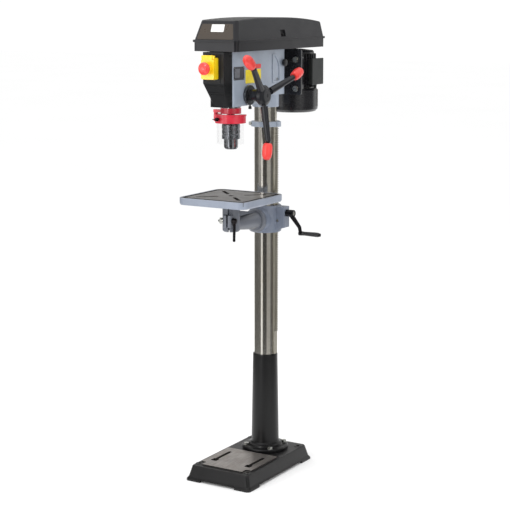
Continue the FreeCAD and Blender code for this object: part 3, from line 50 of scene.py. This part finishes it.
class Look:
    """A node material under construction."""

    def __init__(self, name, metallic=0.0, specular=0.5, coat=0.0, coat_rough=0.1):
        self.material = bpy.data.materials.new(name)
        self.material.use_nodes = True
        self.tree = self.material.node_tree
        self.shader = self.tree.nodes["Principled BSDF"]
        self.shader.inputs["Metallic"].default_value = metallic
        self.shader.inputs["Specular IOR Level"].default_value = specular
        self.shader.inputs["Coat Weight"].default_value = coat
        self.shader.inputs["Coat Roughness"].default_value = coat_rough
        self.place = self.add("ShaderNodeTexCoord").outputs["Object"]
        self.geometry = self.add("ShaderNodeNewGeometry")

    def add(self, kind, **settings):
        node = self.tree.nodes.new(kind)
        for key, value in settings.items():
            setattr(node, key, value)
        return node

    def put(self, value, socket):
        if isinstance(value, bpy.types.NodeSocket):
            self.tree.links.new(value, socket)
        else:
            socket.default_value = value

    def set(self, **inputs):
        for key, value in inputs.items():
            self.put(value, self.shader.inputs[key.replace("_", " ")])
        return self

    def scaled(self, factors, source=None):
        node = self.add("ShaderNodeMapping")
        self.put(source or self.place, node.inputs["Vector"])
        node.inputs["Scale"].default_value = factors
        return node.outputs["Vector"]

    def noise(self, scale, detail=3.0, rough=0.55, vector=None, warp=0.0):
        node = self.add("ShaderNodeTexNoise")
        self.put(vector or self.place, node.inputs["Vector"])
        node.inputs["Scale"].default_value = scale
        node.inputs["Detail"].default_value = detail
        node.inputs["Roughness"].default_value = rough
        node.inputs["Distortion"].default_value = warp
        return node.outputs["Fac"]

    def cells(self, scale, vector=None, feature="F1"):
        node = self.add("ShaderNodeTexVoronoi", feature=feature)
        self.put(vector or self.place, node.inputs["Vector"])
        node.inputs["Scale"].default_value = scale
        return node.outputs["Distance"]

    def span(self, value, low, high, to_low=0.0, to_high=1.0):
        node = self.add("ShaderNodeMapRange")
        self.put(value, node.inputs["Value"])
        node.inputs["From Min"].default_value = low
        node.inputs["From Max"].default_value = high
        node.inputs["To Min"].default_value = to_low
        node.inputs["To Max"].default_value = to_high
        return node.outputs["Result"]

    def calc(self, operation, a, b=0.0):
        node = self.add("ShaderNodeMath", operation=operation)
        self.put(a, node.inputs[0])
        self.put(b, node.inputs[1])
        return node.outputs[0]

    def mix(self, factor, a, b):
        node = self.add("ShaderNodeMix", data_type="RGBA")
        self.put(factor, node.inputs["Factor"])
        self.put(a, node.inputs["A"])
        self.put(b, node.inputs["B"])
        return node.outputs["Result"]

    def axis(self, index, source=None):
        node = self.add("ShaderNodeSeparateXYZ")
        self.put(source or self.place, node.inputs[0])
        return node.outputs[index]

    def facing(self, index):
        return self.axis(index, self.geometry.outputs["Normal"])

    def soft_edges(self, radius):
        node = self.add("ShaderNodeBevel", samples=4)
        node.inputs["Radius"].default_value = radius
        return node.outputs["Normal"]

    def edges(self, radius, low=0.03, high=0.30):
        """Near 1 along sharp edges, 0 on flat and gently curved faces."""
        node = self.add("ShaderNodeVectorMath", operation="DOT_PRODUCT")
        self.put(self.soft_edges(radius), node.inputs[0])
        self.put(self.geometry.outputs["Normal"], node.inputs[1])
        return self.span(self.calc("SUBTRACT", 1.0, node.outputs["Value"]), low, high)

    def bump(self, height, strength, distance, under=None):
        node = self.add("ShaderNodeBump")
        node.inputs["Strength"].default_value = strength
        node.inputs["Distance"].default_value = distance
        self.put(height, node.inputs["Height"])
        if under is not None:
            self.put(under, node.inputs["Normal"])
        return node.outputs["Normal"]


def enamel(name, colour, rough, grain=420.0, depth=0.00025, strength=0.25, edge=0.0012, coat=0.25,
           specular=0.5):
    """Paint on a casting: grain under the film, soft mottling, and edges rubbed lighter."""
    look = Look(name, coat=coat, coat_rough=0.16, specular=specular)
    mottle = look.noise(9.0, 4.0, 0.6)
    fine = look.noise(grain, 3.0, 0.6)
    pits = look.cells(grain * 0.45)
    dark = tuple(c * 0.82 for c in colour[:3]) + (1.0,)
    light = tuple(min(1.0, c * 1.10) for c in colour[:3]) + (1.0,)
    base = look.mix(look.span(mottle, 0.3, 0.7), dark, light)
    rubbed = look.calc("MULTIPLY", look.edges(edge), look.span(look.noise(90.0, 4.0), 0.38, 0.62))
    worn = tuple(min(1.0, c * 1.7 + 0.03) for c in colour[:3]) + (1.0,)
    look.set(Base_Color=look.mix(look.calc("MULTIPLY", rubbed, 0.7), base, worn))
    uneven = look.calc("ADD", look.calc("MULTIPLY", fine, 0.5), look.calc("MULTIPLY", mottle, 0.5))
    look.set(Roughness=look.span(uneven, 0.3, 0.7, rough - 0.06, rough + 0.08))
    height = look.calc("ADD", fine, look.calc("MULTIPLY", pits, 0.6))
    look.set(Normal=look.bump(height, strength, depth, look.soft_edges(edge)))
    return look


def moulded(name, colour, rough, grain=900.0, depth=0.00012, strength=0.25, edge=0.0008, coat=0.0,
            specular=0.5):
    """Moulded plastic: fine spark-eroded grain, faint flow marks, and polished edges."""
    look = Look(name, coat=coat, coat_rough=0.08, specular=specular)
    flow = look.noise(16.0, 3.0, 0.5, warp=0.6)
    grainy = look.noise(grain, 2.0, 0.5)
    dark = tuple(c * 0.86 for c in colour[:3]) + (1.0,)
    light = tuple(min(1.0, c * 1.08) for c in colour[:3]) + (1.0,)
    handled = look.edges(edge)
    pale = tuple(min(1.0, c * 1.35 + 0.012) for c in colour[:3]) + (1.0,)
    base = look.mix(look.span(flow, 0.35, 0.65), dark, light)
    look.set(Base_Color=look.mix(look.calc("MULTIPLY", handled, 0.45), base, pale))
    uneven = look.calc("ADD", look.span(flow, 0.3, 0.7, rough - 0.04, rough + 0.05),
                       look.calc("MULTIPLY", look.span(grainy, 0.3, 0.7), 0.05))
    look.set(Roughness=look.calc("SUBTRACT", uneven, look.calc("MULTIPLY", handled, 0.08)))
    look.set(Normal=look.bump(grainy, strength, depth, look.soft_edges(edge)))
    return look


def steel(name, colour, rough, stretch, scale=60.0, depth=0.00004, strength=0.3, edge=0.0005, tint=None,
          spots=0.25):
    """Bare metal with tool marks drawn out along the short factors of stretch."""
    look = Look(name, metallic=1.0)
    marks = look.noise(scale, 5.0, 0.7, vector=look.scaled(stretch))
    film = look.noise(14.0, 4.0, 0.6)
    specks = look.span(look.noise(160.0, 5.0, 0.7), 0.60, 0.75)
    dark = tuple(c * 0.72 for c in colour[:3]) + (1.0,)
    light = tuple(min(1.0, c * 1.12) for c in colour[:3]) + (1.0,)
    base = look.mix(look.span(marks, 0.35, 0.65), dark, light)
    stain = tint or tuple(c * k for c, k in zip(colour[:3], (0.78, 0.70, 0.58))) + (1.0,)
    base = look.mix(look.calc("MULTIPLY", look.span(film, 0.5, 0.75), 0.45), base, stain)
    base = look.mix(look.calc("MULTIPLY", specks, spots), base, dark)
    bright = look.edges(edge)
    look.set(Base_Color=look.mix(look.calc("MULTIPLY", bright, 0.6), base, light))
    look.set(Roughness=look.calc("ADD", look.span(marks, 0.3, 0.7, rough - 0.05, rough + 0.07),
                                 look.span(film, 0.4, 0.8, 0.0, 0.10)))
    look.set(Normal=look.bump(marks, strength, depth, look.soft_edges(edge)))
    return look


def machined_top(look, level, colour, inset, direction=(1.0, 0.06, 1.0)):
    """Lays milled iron over paint inside a rectangle, and paints shade into its slots and hollows as mottled
    dark grey.
    """
    (x0, x1), (y0, y1) = inset
    inside = look.calc("GREATER_THAN", look.axis(2), level - 0.012)
    for value, low, high in ((look.axis(0), x0, x1), (look.axis(1), y0, y1)):
        inside = look.calc("MULTIPLY", inside, look.calc("GREATER_THAN", value, low))
        inside = look.calc("MULTIPLY", inside, look.calc("LESS_THAN", value, high))
    up = look.calc("MULTIPLY", inside, look.calc("GREATER_THAN", look.facing(2), 0.9))
    up = look.calc("MULTIPLY", up, look.calc("GREATER_THAN", look.axis(2), level))
    # Faces inside the rectangle that are not the milled top, such as slot walls and the gutter: these get
    # painted shade.
    shaded_hollows = look.calc("SUBTRACT", inside, up)
    marks = look.noise(260.0, 4.0, 0.65, vector=look.scaled(direction))
    film = look.noise(22.0, 5.0, 0.65, warp=0.4)
    dark = tuple(c * 0.70 for c in colour[:3]) + (1.0,)
    light = tuple(min(1.0, c * 1.18) for c in colour[:3]) + (1.0,)
    bare = look.mix(look.span(marks, 0.35, 0.65), dark, light)
    stain = tuple(c * k for c, k in zip(colour[:3], (0.74, 0.69, 0.63))) + (1.0,)
    bare = look.mix(look.calc("MULTIPLY", look.span(film, 0.45, 0.7), 0.6), bare, stain)
    paint = look.shader.inputs["Base Color"]
    # Painted shade for the slots and hollows: a mottled dark grey that stands in for the shade inside them.
    hollow_shade = look.mix(look.span(film, 0.35, 0.65), srgb(34, 33, 33), srgb(58, 55, 52))
    look.put(look.mix(shaded_hollows, paint.links[0].from_socket, hollow_shade), paint)
    sheen = look.span(film, 0.3, 0.7, 0.30, 0.46)
    for key, value in (("Base Color", bare), ("Roughness", sheen), ("Metallic", 0.85)):
        socket = look.shader.inputs[key]
        old = socket.links[0].from_socket if socket.links else socket.default_value
        if key == "Base Color":
            look.put(look.mix(up, old, value), socket)
        else:
            painted = look.calc("MULTIPLY", look.calc("SUBTRACT", 1.0, up), old)
            look.put(look.calc("ADD", painted, look.calc("MULTIPLY", up, value)), socket)
    return look


# ---- materials ----------------------------------------------------------
def column_look():
    """Ground tube: fine rings round it and a faint lengthwise grain."""
    look = Look("ground_pillar", metallic=1.0)
    rings = look.noise(70.0, 6.0, 0.75, vector=look.scaled((0.4, 0.4, 22.0)))
    grain = look.noise(60.0, 4.0, 0.6, vector=look.scaled((9.0, 9.0, 0.35)))
    film = look.noise(5.0, 4.0, 0.6)
    base = look.mix(look.span(rings, 0.35, 0.65), srgb(176, 172, 163), srgb(214, 211, 204))
    base = look.mix(look.calc("MULTIPLY", look.span(film, 0.45, 0.75), 0.5), base, srgb(168, 159, 142))
    base = look.mix(look.calc("MULTIPLY", look.span(grain, 0.55, 0.75), 0.25), base, srgb(142, 136, 124))
    look.set(Base_Color=base)
    look.set(Roughness=look.calc("ADD", look.span(rings, 0.3, 0.7, 0.11, 0.19),
                                 look.span(film, 0.4, 0.8, 0.0, 0.05)))
    look.set(Normal=look.bump(look.calc("ADD", rings, look.calc("MULTIPLY", grain, 0.3)), 0.22, 0.00004))
    return look


def clear_look():
    """Clear polycarbonate with faint rub marks."""
    look = Look("clear_polycarbonate")
    scuffs = look.noise(40.0, 5.0, 0.7, vector=look.scaled((1.0, 1.0, 6.0)))
    shader = look.shader.inputs
    shader["IOR"].default_value = 1.45
    shader["Alpha"].default_value = 0.05
    look.set(Base_Color=look.mix(look.span(scuffs, 0.4, 0.8), srgb(96, 102, 106), srgb(140, 146, 150)))
    look.set(Roughness=look.span(scuffs, 0.45, 0.8, 0.03, 0.16))
    look.set(Normal=look.bump(scuffs, 0.1, 0.0001))
    return look


def depth_ring_look():
    """Machined ring with graduations cut round its rim."""
    graduations, rim_x0, rim_x1 = 60, 0.0500, 0.0560
    look = steel("graduated_ring", srgb(66, 68, 72), 0.34, (14.0, 1.0, 1.0))
    angle = look.calc("ARCTAN2", look.calc("SUBTRACT", look.axis(2), PINION_Z),
                      look.calc("SUBTRACT", look.axis(1), PINION_Y))
    turn = look.calc("FRACT", look.calc("MULTIPLY", look.calc("ADD", angle, math.pi), graduations / math.tau))
    tick = look.calc("LESS_THAN", turn, 0.16)
    rim = look.calc("MULTIPLY", look.calc("GREATER_THAN", look.axis(0), rim_x0),
                    look.calc("LESS_THAN", look.axis(0), rim_x1))
    radial = look.calc("LESS_THAN", look.calc("ABSOLUTE", look.facing(0)), 0.4)
    mask = look.calc("MULTIPLY", look.calc("MULTIPLY", tick, rim), radial)
    socket = look.shader.inputs["Base Color"]
    look.put(look.mix(mask, socket.links[0].from_socket, srgb(225, 226, 228)), socket)
    return look


def sleeve_look():
    """Chuck sleeve: dark ground steel with straight knurling on its raised bands."""
    look = steel("knurled_sleeve", srgb(150, 152, 158), 0.14, (1.0, 1.0, 18.0), scale=90.0)
    angle = look.calc("ARCTAN2", look.calc("SUBTRACT", look.axis(1), SPINDLE_Y), look.axis(0))
    ridge = look.calc("ABSOLUTE", look.calc("SINE", look.calc("MULTIPLY", angle, 60.0)))
    radial = look.calc("LESS_THAN", look.calc("ABSOLUTE", look.facing(2)), 0.3)
    look.set(Normal=look.bump(look.calc("MULTIPLY", ridge, radial), 0.25, 0.0002, look.soft_edges(0.0006)))
    return look


def grip_look():
    """Glossy red plastic of the lever ends."""
    return moulded("red_grip", srgb(226, 58, 52), 0.34, grain=300.0, strength=0.15, coat=0.3)


HEAD_GREY = srgb(150, 160, 174)

base_look = machined_top(
    enamel("black_casting", srgb(19, 18, 19), 0.38, grain=260.0, strength=0.35, depth=0.0004, coat=0.12,
           specular=0.35),
    0.0575, srgb(166, 160, 156), inset=((-0.104, 0.104), (-0.189, 0.02)))
table_look = machined_top(
    enamel("table_enamel", srgb(137, 145, 160), 0.36, grain=320.0, strength=0.3),
    1.0110, srgb(138, 136, 137), inset=((-0.127, 0.127), (-0.249, 0.005)), direction=(0.05, 1.0, 1.0))

LOOKS = {
    "base": base_look,
    "column_holder": enamel("black_holder", srgb(12, 12, 13), 0.36, grain=300.0, strength=0.3, coat=0.1,
                            specular=0.3),
    "column": column_look(),
    "rack": steel("rack_steel", srgb(168, 164, 152), 0.34, (1.0, 1.0, 6.0), scale=120.0),
    "table": table_look,
    "table_bracket": enamel("bracket_enamel", srgb(114, 122, 138), 0.38, grain=240.0, strength=0.45,
                            depth=0.0005),
    "table_arm": enamel("arm_enamel", srgb(106, 110, 119), 0.38, grain=240.0, strength=0.45, depth=0.0005),
    "head_casting": enamel("head_enamel", HEAD_GREY, 0.34, grain=240.0, strength=0.35, depth=0.0004),
    "cover_lid": moulded("lid_plastic", srgb(22, 22, 27), 0.32, grain=520.0, strength=0.3, depth=0.0002,
                         edge=0.0012, specular=0.42),
    "nose_cover": moulded("nose_plastic", srgb(16, 17, 20), 0.44, grain=480.0, strength=0.5, depth=0.0002,
                          specular=0.35),
    "switch_box": moulded("yellow_plastic", srgb(244, 208, 22), 0.30, coat=0.4),
    "stop_button": moulded("red_button", srgb(228, 56, 50), 0.24, coat=0.6),
    "start_button": moulded("green_button", srgb(28, 132, 60), 0.28, coat=0.4),
    "guard_bracket": moulded("red_guard", srgb(200, 34, 56), 0.28, grain=500.0, coat=0.4),
    "guard_shield": clear_look(),
    "feed_grips": grip_look(),
    "feed_levers": enamel("black_lever", srgb(26, 27, 32), 0.34, grain=200.0, strength=0.3, coat=0.2,
                          specular=0.4),
    "motor_body": enamel("motor_black", srgb(25, 25, 29), 0.27, grain=380.0, strength=0.25, coat=0.35,
                         specular=0.5),
    "terminal_box": moulded("box_plastic", srgb(34, 38, 37), 0.44, grain=420.0),
    "crank_grip": moulded("crank_plastic", srgb(24, 24, 26), 0.32, coat=0.2),
    "flange_bolts": steel("zinc_plate", srgb(196, 197, 192), 0.26, (1.0, 1.0, 1.0), tint=srgb(176, 170, 140)),
    "quill": steel("ground_steel", srgb(190, 190, 188), 0.18, (1.0, 1.0, 16.0), scale=90.0),
    "chuck_body": steel("chuck_steel", srgb(158, 160, 165), 0.13, (1.0, 1.0, 18.0), scale=90.0),
    "chuck_sleeve": sleeve_look(),
    "depth_ring": depth_ring_look(),
    "crank_shaft": steel("turned_steel", srgb(150, 148, 142), 0.28, (14.0, 1.0, 1.0), scale=90.0),
    "column_clamp_lever": steel("black_oxide", srgb(44, 44, 47), 0.36, (1.0, 1.0, 1.0), tint=srgb(58, 48, 40)),
    "spindle_pulley": steel("cast_aluminium", srgb(188, 190, 192), 0.30, (1.0, 1.0, 14.0), scale=80.0,
                            tint=srgb(160, 158, 150)),
    "front_belt": moulded("belt_rubber", srgb(26, 26, 27), 0.62, grain=700.0, strength=0.5, depth=0.0002),
    "return_spring": steel("spring_steel", srgb(96, 100, 112), 0.28, (1.0, 1.0, 8.0)),
    "motor_rotor": steel("rotor_steel", srgb(120, 118, 114), 0.40, (1.0, 1.0, 20.0), scale=90.0),
}
SAME = {
    "head_casting": ("spring_housing", "rack_collar"),
    "cover_lid": ("cover_tray",),
    "switch_box": ("switch_flap",),
    "guard_bracket": ("guard_clamp",),
    "feed_levers": ("feed_hub",),
    "motor_body": ("motor_plate", "motor_fan_cover"),
    "crank_grip": ("tension_knob",),
    "flange_bolts": ("motor_bolts", "arm_fasteners", "set_screws"),
    "quill": ("spindle", "quill_bearings", "pulley_bearing", "lid_hinge_pins", "idler_post", "slide_bars",
              "chuck_jaw_1", "chuck_jaw_2", "chuck_jaw_3"),
    "crank_shaft": ("lift_gear", "feed_pinion"),
    "column_clamp_lever": ("stem_clamp_lever", "crank_arm", "lid_screw"),
    "spindle_pulley": ("idler_pulley", "motor_pulley"),
    "front_belt": ("rear_belt",),
}


def dress(obj, material):
    """Puts one material on every slot of an object."""
    if not obj.material_slots:
        obj.data.materials.append(material)
    for slot in obj.material_slots:
        slot.material = material


for first, look in LOOKS.items():
    for node in (first,) + SAME.get(first, ()):
        dress(NODES[node], look.material)


# ---- small pieces the solids leave out ----------------------------------
def mesh_piece(name, build, material, body, matrix=None):
    """Makes an object from a bmesh filled by build(bm), and hangs it on a body."""
    bm = bmesh.new()
    build(bm)
    bmesh.ops.recalc_face_normals(bm, faces=bm.faces)
    mesh = bpy.data.meshes.new(name)
    bm.to_mesh(mesh)
    bm.free()
    obj = bpy.data.objects.new(name, mesh)
    bpy.context.scene.collection.objects.link(obj)
    if matrix is not None:
        mesh.transform(matrix)
    mesh.materials.append(material)
    for polygon in mesh.polygons:
        polygon.use_smooth = True
    mesh.set_sharp_from_angle(angle=math.radians(35))
    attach(obj, body)
    return obj


def rounded_plate(width, height, radius, thick, lip=0.0, lip_high=0.0, top_width=None):
    """A plate with rounded corners and a softened edge and, if asked, a raised border or a narrower top."""
    def ring(bm, inset, z):
        points = []
        tall, r = height / 2 - inset, max(radius - inset, radius * 0.25)
        for sx, sy, start in ((1, 1, 0), (-1, 1, 90), (-1, -1, 180), (1, -1, 270)):
            wide = (top_width if top_width and sy > 0 else width) / 2 - inset
            for step in range(7):
                a = math.radians(start + 15 * step)
                x, y = sx * (wide - r) + r * math.cos(a), sy * (tall - r) + r * math.sin(a)
                points.append(bm.verts.new((x, y, z)))
        return points

    def build(bm):
        soft = thick * 0.3
        rings = [ring(bm, 0.0, 0.0), ring(bm, 0.0, thick - soft), ring(bm, soft, thick)]
        if lip:
            rings += [ring(bm, lip, thick), ring(bm, lip + soft, thick - lip_high)]
        for low, high in zip(rings, rings[1:]):
            count = len(low)
            for i in range(count):
                bm.faces.new((low[i], low[(i + 1) % count], high[(i + 1) % count], high[i]))
        bm.faces.new(rings[0][::-1])
        bm.faces.new(rings[-1])
    return build


def turned_piece(profile, segments=40):
    """A revolved form from (radius, height) points, closed at both ends."""
    def build(bm):
        rings = []
        turns = [2 * math.pi * i / segments for i in range(segments)]
        for r, h in profile:
            rings.append([bm.verts.new((r * math.cos(turn), r * math.sin(turn), h)) for turn in turns])
        for low, high in zip(rings, rings[1:]):
            for i in range(segments):
                bm.faces.new((low[i], low[(i + 1) % segments], high[(i + 1) % segments], high[i]))
        bm.faces.new(rings[0][::-1])
        bm.faces.new(rings[-1])
    return build


def facing_matrix(origin, normal, up=(0, 0, 1)):
    """A frame whose Z is the normal and whose Y is as near up as it can be."""
    z = Vector(normal).normalized()
    x = Vector(up).cross(z).normalized()
    y = z.cross(x)
    return Matrix.Translation(Vector(origin)) @ Matrix((x, y, z)).transposed().to_4x4()


def plate_look(name, colour, rough, metallic=0.0):
    """Printed or anodised plate, with faint cloudiness under its lacquer."""
    look = Look(name, metallic=metallic, coat=0.3)
    wash = look.noise(60.0, 4.0, 0.6)
    fine = look.noise(700.0, 2.0, 0.5)
    dark = tuple(c * 0.85 for c in colour[:3]) + (1.0,)
    look.set(Base_Color=look.mix(look.span(wash, 0.35, 0.7), colour, dark))
    look.set(Roughness=look.span(wash, 0.3, 0.7, rough - 0.04, rough + 0.08))
    look.set(Normal=look.bump(fine, 0.2, 0.00008, look.soft_edges(0.0003)))
    return look.material


dark_plate = plate_look("dark_plate", srgb(44, 46, 54), 0.32)
pale_plate = plate_look("pale_plate", srgb(120, 124, 132), 0.3, metallic=0.6)
yellow_plate = plate_look("yellow_plate", srgb(238, 214, 24), 0.34)
red_plate = plate_look("red_plate", srgb(222, 44, 40), 0.34)
label_white = plate_look("label_white", srgb(236, 236, 234), 0.4)
bronze_plate = plate_look("bronze_plate", srgb(60, 50, 40), 0.30)
rivet_look = LOOKS["flange_bolts"].material


def side_plate(name, y0, y1, z0, z1, material, thick=0.0012, out=0.0, lip=0.0):
    middle = (SIDE_X + out, (y0 + y1) / 2, (z0 + z1) / 2)
    build = rounded_plate(y1 - y0, z1 - z0, 0.004, thick, lip, thick * 0.4 if lip else 0.0)
    return mesh_piece(name, build, material, "frame", facing_matrix(middle, (1, 0, 0)))


side_plate("rating_plate", -0.178, -0.112, 1.408, 1.452, dark_plate, lip=0.002)
side_plate("rating_plate_field", -0.174, -0.142, 1.416, 1.446, pale_plate, thick=0.0005,
           out=0.0009)
side_plate("notice_plate", -0.104, -0.004, 1.394, 1.440, yellow_plate)
side_plate("notice_band", -0.060, -0.004, 1.442, 1.457, red_plate)
for number, (y, z) in enumerate(((-0.174, 1.448), (-0.116, 1.448), (-0.174, 1.412), (-0.116, 1.412))):
    dome = turned_piece([(0.0016, 0), (0.0016, 0.0004), (0.0012, 0.0010), (0.0004, 0.0013)], 16)
    mesh_piece(f"rivet_{number + 1}", dome, rivet_look, "frame",
               facing_matrix((SIDE_X + 0.0010, y, z), (1, 0, 0)))

# Front panel of the lid, on its sloping face
slope = math.atan2(0.020, 0.054)
front_normal = (0, -math.cos(slope), math.sin(slope))


def lid_front(name, build, centre_z, x, material, out):
    y = LID_FRONT_Y + (centre_z - SEAM_Z) * math.tan(slope)
    origin = Vector((x, y, centre_z)) + Vector(front_normal) * out
    return mesh_piece(name, build, material, "lid", facing_matrix(origin, front_normal))


lid_front("front_panel", rounded_plate(0.142, 0.054, 0.004, 0.0006, top_width=0.122), 1.5685, 0.0,
          bronze_plate, 0.0001)
lid_front("front_label", rounded_plate(0.050, 0.026, 0.002, 0.0005), 1.5800, 0.004,
          label_white, 0.0006)

# Thumb screw of the guard, wing shaped
def wing_screw(bm):
    turned_piece([(0.003, -0.004), (0.003, 0.004), (0.0065, 0.005), (0.0065, 0.013), (0.0045, 0.015)], 32)(bm)
    for side in (-1, 1):
        wing = []
        for x, z in ((0.004, 0.007), (0.012, 0.010), (0.0135, 0.015), (0.011, 0.019), (0.004, 0.013)):
            for y in (-0.0013, 0.0013):
                wing.append(bm.verts.new((side * x, y, z)))
        front, back = wing[0::2], wing[1::2]
        bm.faces.new(front)
        bm.faces.new(back[::-1])
        for i in range(len(front)):
            j = (i + 1) % len(front)
            bm.faces.new((front[i], front[j], back[j], back[i]))


SCREW_ANGLE, SCREW_OUT, SCREW_Z = math.radians(253), 0.054, 1.276
outward = (math.cos(SCREW_ANGLE), math.sin(SCREW_ANGLE), 0)
mesh_piece("guard_thumb_screw", wing_screw, LOOKS["column_clamp_lever"].material, "guard",
           facing_matrix((SCREW_OUT * outward[0], SPINDLE_Y + SCREW_OUT * outward[1], SCREW_Z), outward))

mesh_piece("off_plunger", turned_piece([(0.0078, 0), (0.0078, 0.004), (0.0070, 0.0052), (0.003, 0.0056)]),
           LOOKS["stop_button"].material, "frame",
           facing_matrix((-0.006, -0.2392, 1.450), (0, -1, 0)))


# ---- studio -------------------------------------------------------------
def studio():
    """A pale paper floor and an even white surround."""
    bm = bmesh.new()
    size = 30.0
    corners = [bm.verts.new((x * size, y * size, 0)) for x, y in ((-1, -1), (1, -1), (1, 1), (-1, 1))]
    bm.faces.new(corners)
    mesh = bpy.data.meshes.new("studio_floor")
    bm.to_mesh(mesh)
    bm.free()
    floor = bpy.data.objects.new("studio_floor", mesh)
    bpy.context.scene.collection.objects.link(floor)
    look = Look("studio_paper", specular=0.0)
    wash = look.noise(0.6, 2.0)
    look.set(Base_Color=look.mix(wash, srgb(250, 250, 250), srgb(253, 253, 253)), Roughness=0.9)
    mesh.materials.append(look.material)
    world = bpy.data.worlds.new("studio_world")
    world.use_nodes = True
    background = world.node_tree.nodes["Background"]
    background.inputs["Color"].default_value = (1.0, 1.0, 1.0, 1.0)
    background.inputs["Strength"].default_value = 1.03
    bpy.context.scene.world = world
    bpy.context.scene.view_settings.view_transform = "Standard"


def softbox(name, location, target, width, height, watts):
    data = bpy.data.lights.new(name, "AREA")
    data.shape = "RECTANGLE"
    data.size, data.size_y = width, height
    data.energy = watts
    lamp = bpy.data.objects.new(name, data)
    lamp.location = location
    lamp.rotation_euler = (Vector(target) - Vector(location)).to_track_quat("-Z", "Y").to_euler()
    bpy.context.scene.collection.objects.link(lamp)


def flag(name, start, end, radius, top, shade, foot=0.01):
    """A curved dark card round the drill that only mirrors in gloss and metal."""
    bm = bmesh.new()
    steps = 12
    rim = []
    for i in range(steps + 1):
        a = math.radians(start + (end - start) * i / steps)
        x, y = radius * math.sin(a), 0.1 - radius * math.cos(a)
        rim.append((bm.verts.new((x, y, foot)), bm.verts.new((x, y, top))))
    for (low, high), (next_low, next_high) in zip(rim, rim[1:]):
        bm.faces.new((low, next_low, next_high, high))
    mesh = bpy.data.meshes.new(name)
    bm.to_mesh(mesh)
    bm.free()
    card = bpy.data.objects.new(name, mesh)
    bpy.context.scene.collection.objects.link(card)
    look = Look(name + "_cloth", specular=0.0)
    weave = look.noise(30.0, 2.0)
    pale = (shade * 1.2, shade * 1.18, shade * 1.12, 1.0)
    look.set(Base_Color=look.mix(weave, (shade, shade, shade, 1.0), pale), Roughness=1.0)
    mesh.materials.append(look.material)
    card.visible_camera = False
    card.visible_diffuse = False
    card.visible_shadow = False
    card.visible_transmission = False


def camera():
    """A long lens at the front right, a little above the belt cover."""
    distance, azimuth, height, pitch, aim = 5.034, 30.736, 1.6885, 10.343, 0.425
    data = bpy.data.cameras.new("camera")
    data.sensor_width = 36.0
    data.lens = 100.64
    cam = bpy.data.objects.new("camera", data)
    a = math.radians(azimuth)
    cam.location = (distance * math.sin(a), 0.108 - distance * math.cos(a), height)
    cam.rotation_euler = (math.radians(90 - pitch), 0, math.radians(azimuth + aim))
    bpy.context.scene.collection.objects.link(cam)
    bpy.context.scene.camera = cam


studio()
softbox("key", (-0.35, -3.9, 2.3), (0, 0, 1.0), 0.45, 2.8, 34)
softbox("low", (-1.54, -2.45, 1.02), (0, -0.2, 1.5), 1.2, 0.6, 9)
softbox("fill", (3.6, -1.4, 2.0), (0, 0, 1.0), 0.6, 2.4, 16)
softbox("top", (-0.8, -0.6, 4.2), (0, 0, 1.0), 2.4, 2.4, 26)
flag("flag_left", -116, -15, 1.3, 1.29, 0.15)
flag("flag_middle", 3, 44, 1.3, 1.9, 0.07)
flag("flag_half", 44, 84, 1.3, 1.9, 0.40)
flag("flag_right", 84, 140, 1.3, 1.9, 0.13)
flag("flag_back", 160, 250, 3.2, 3.4, 0.32, foot=1.0)
camera()
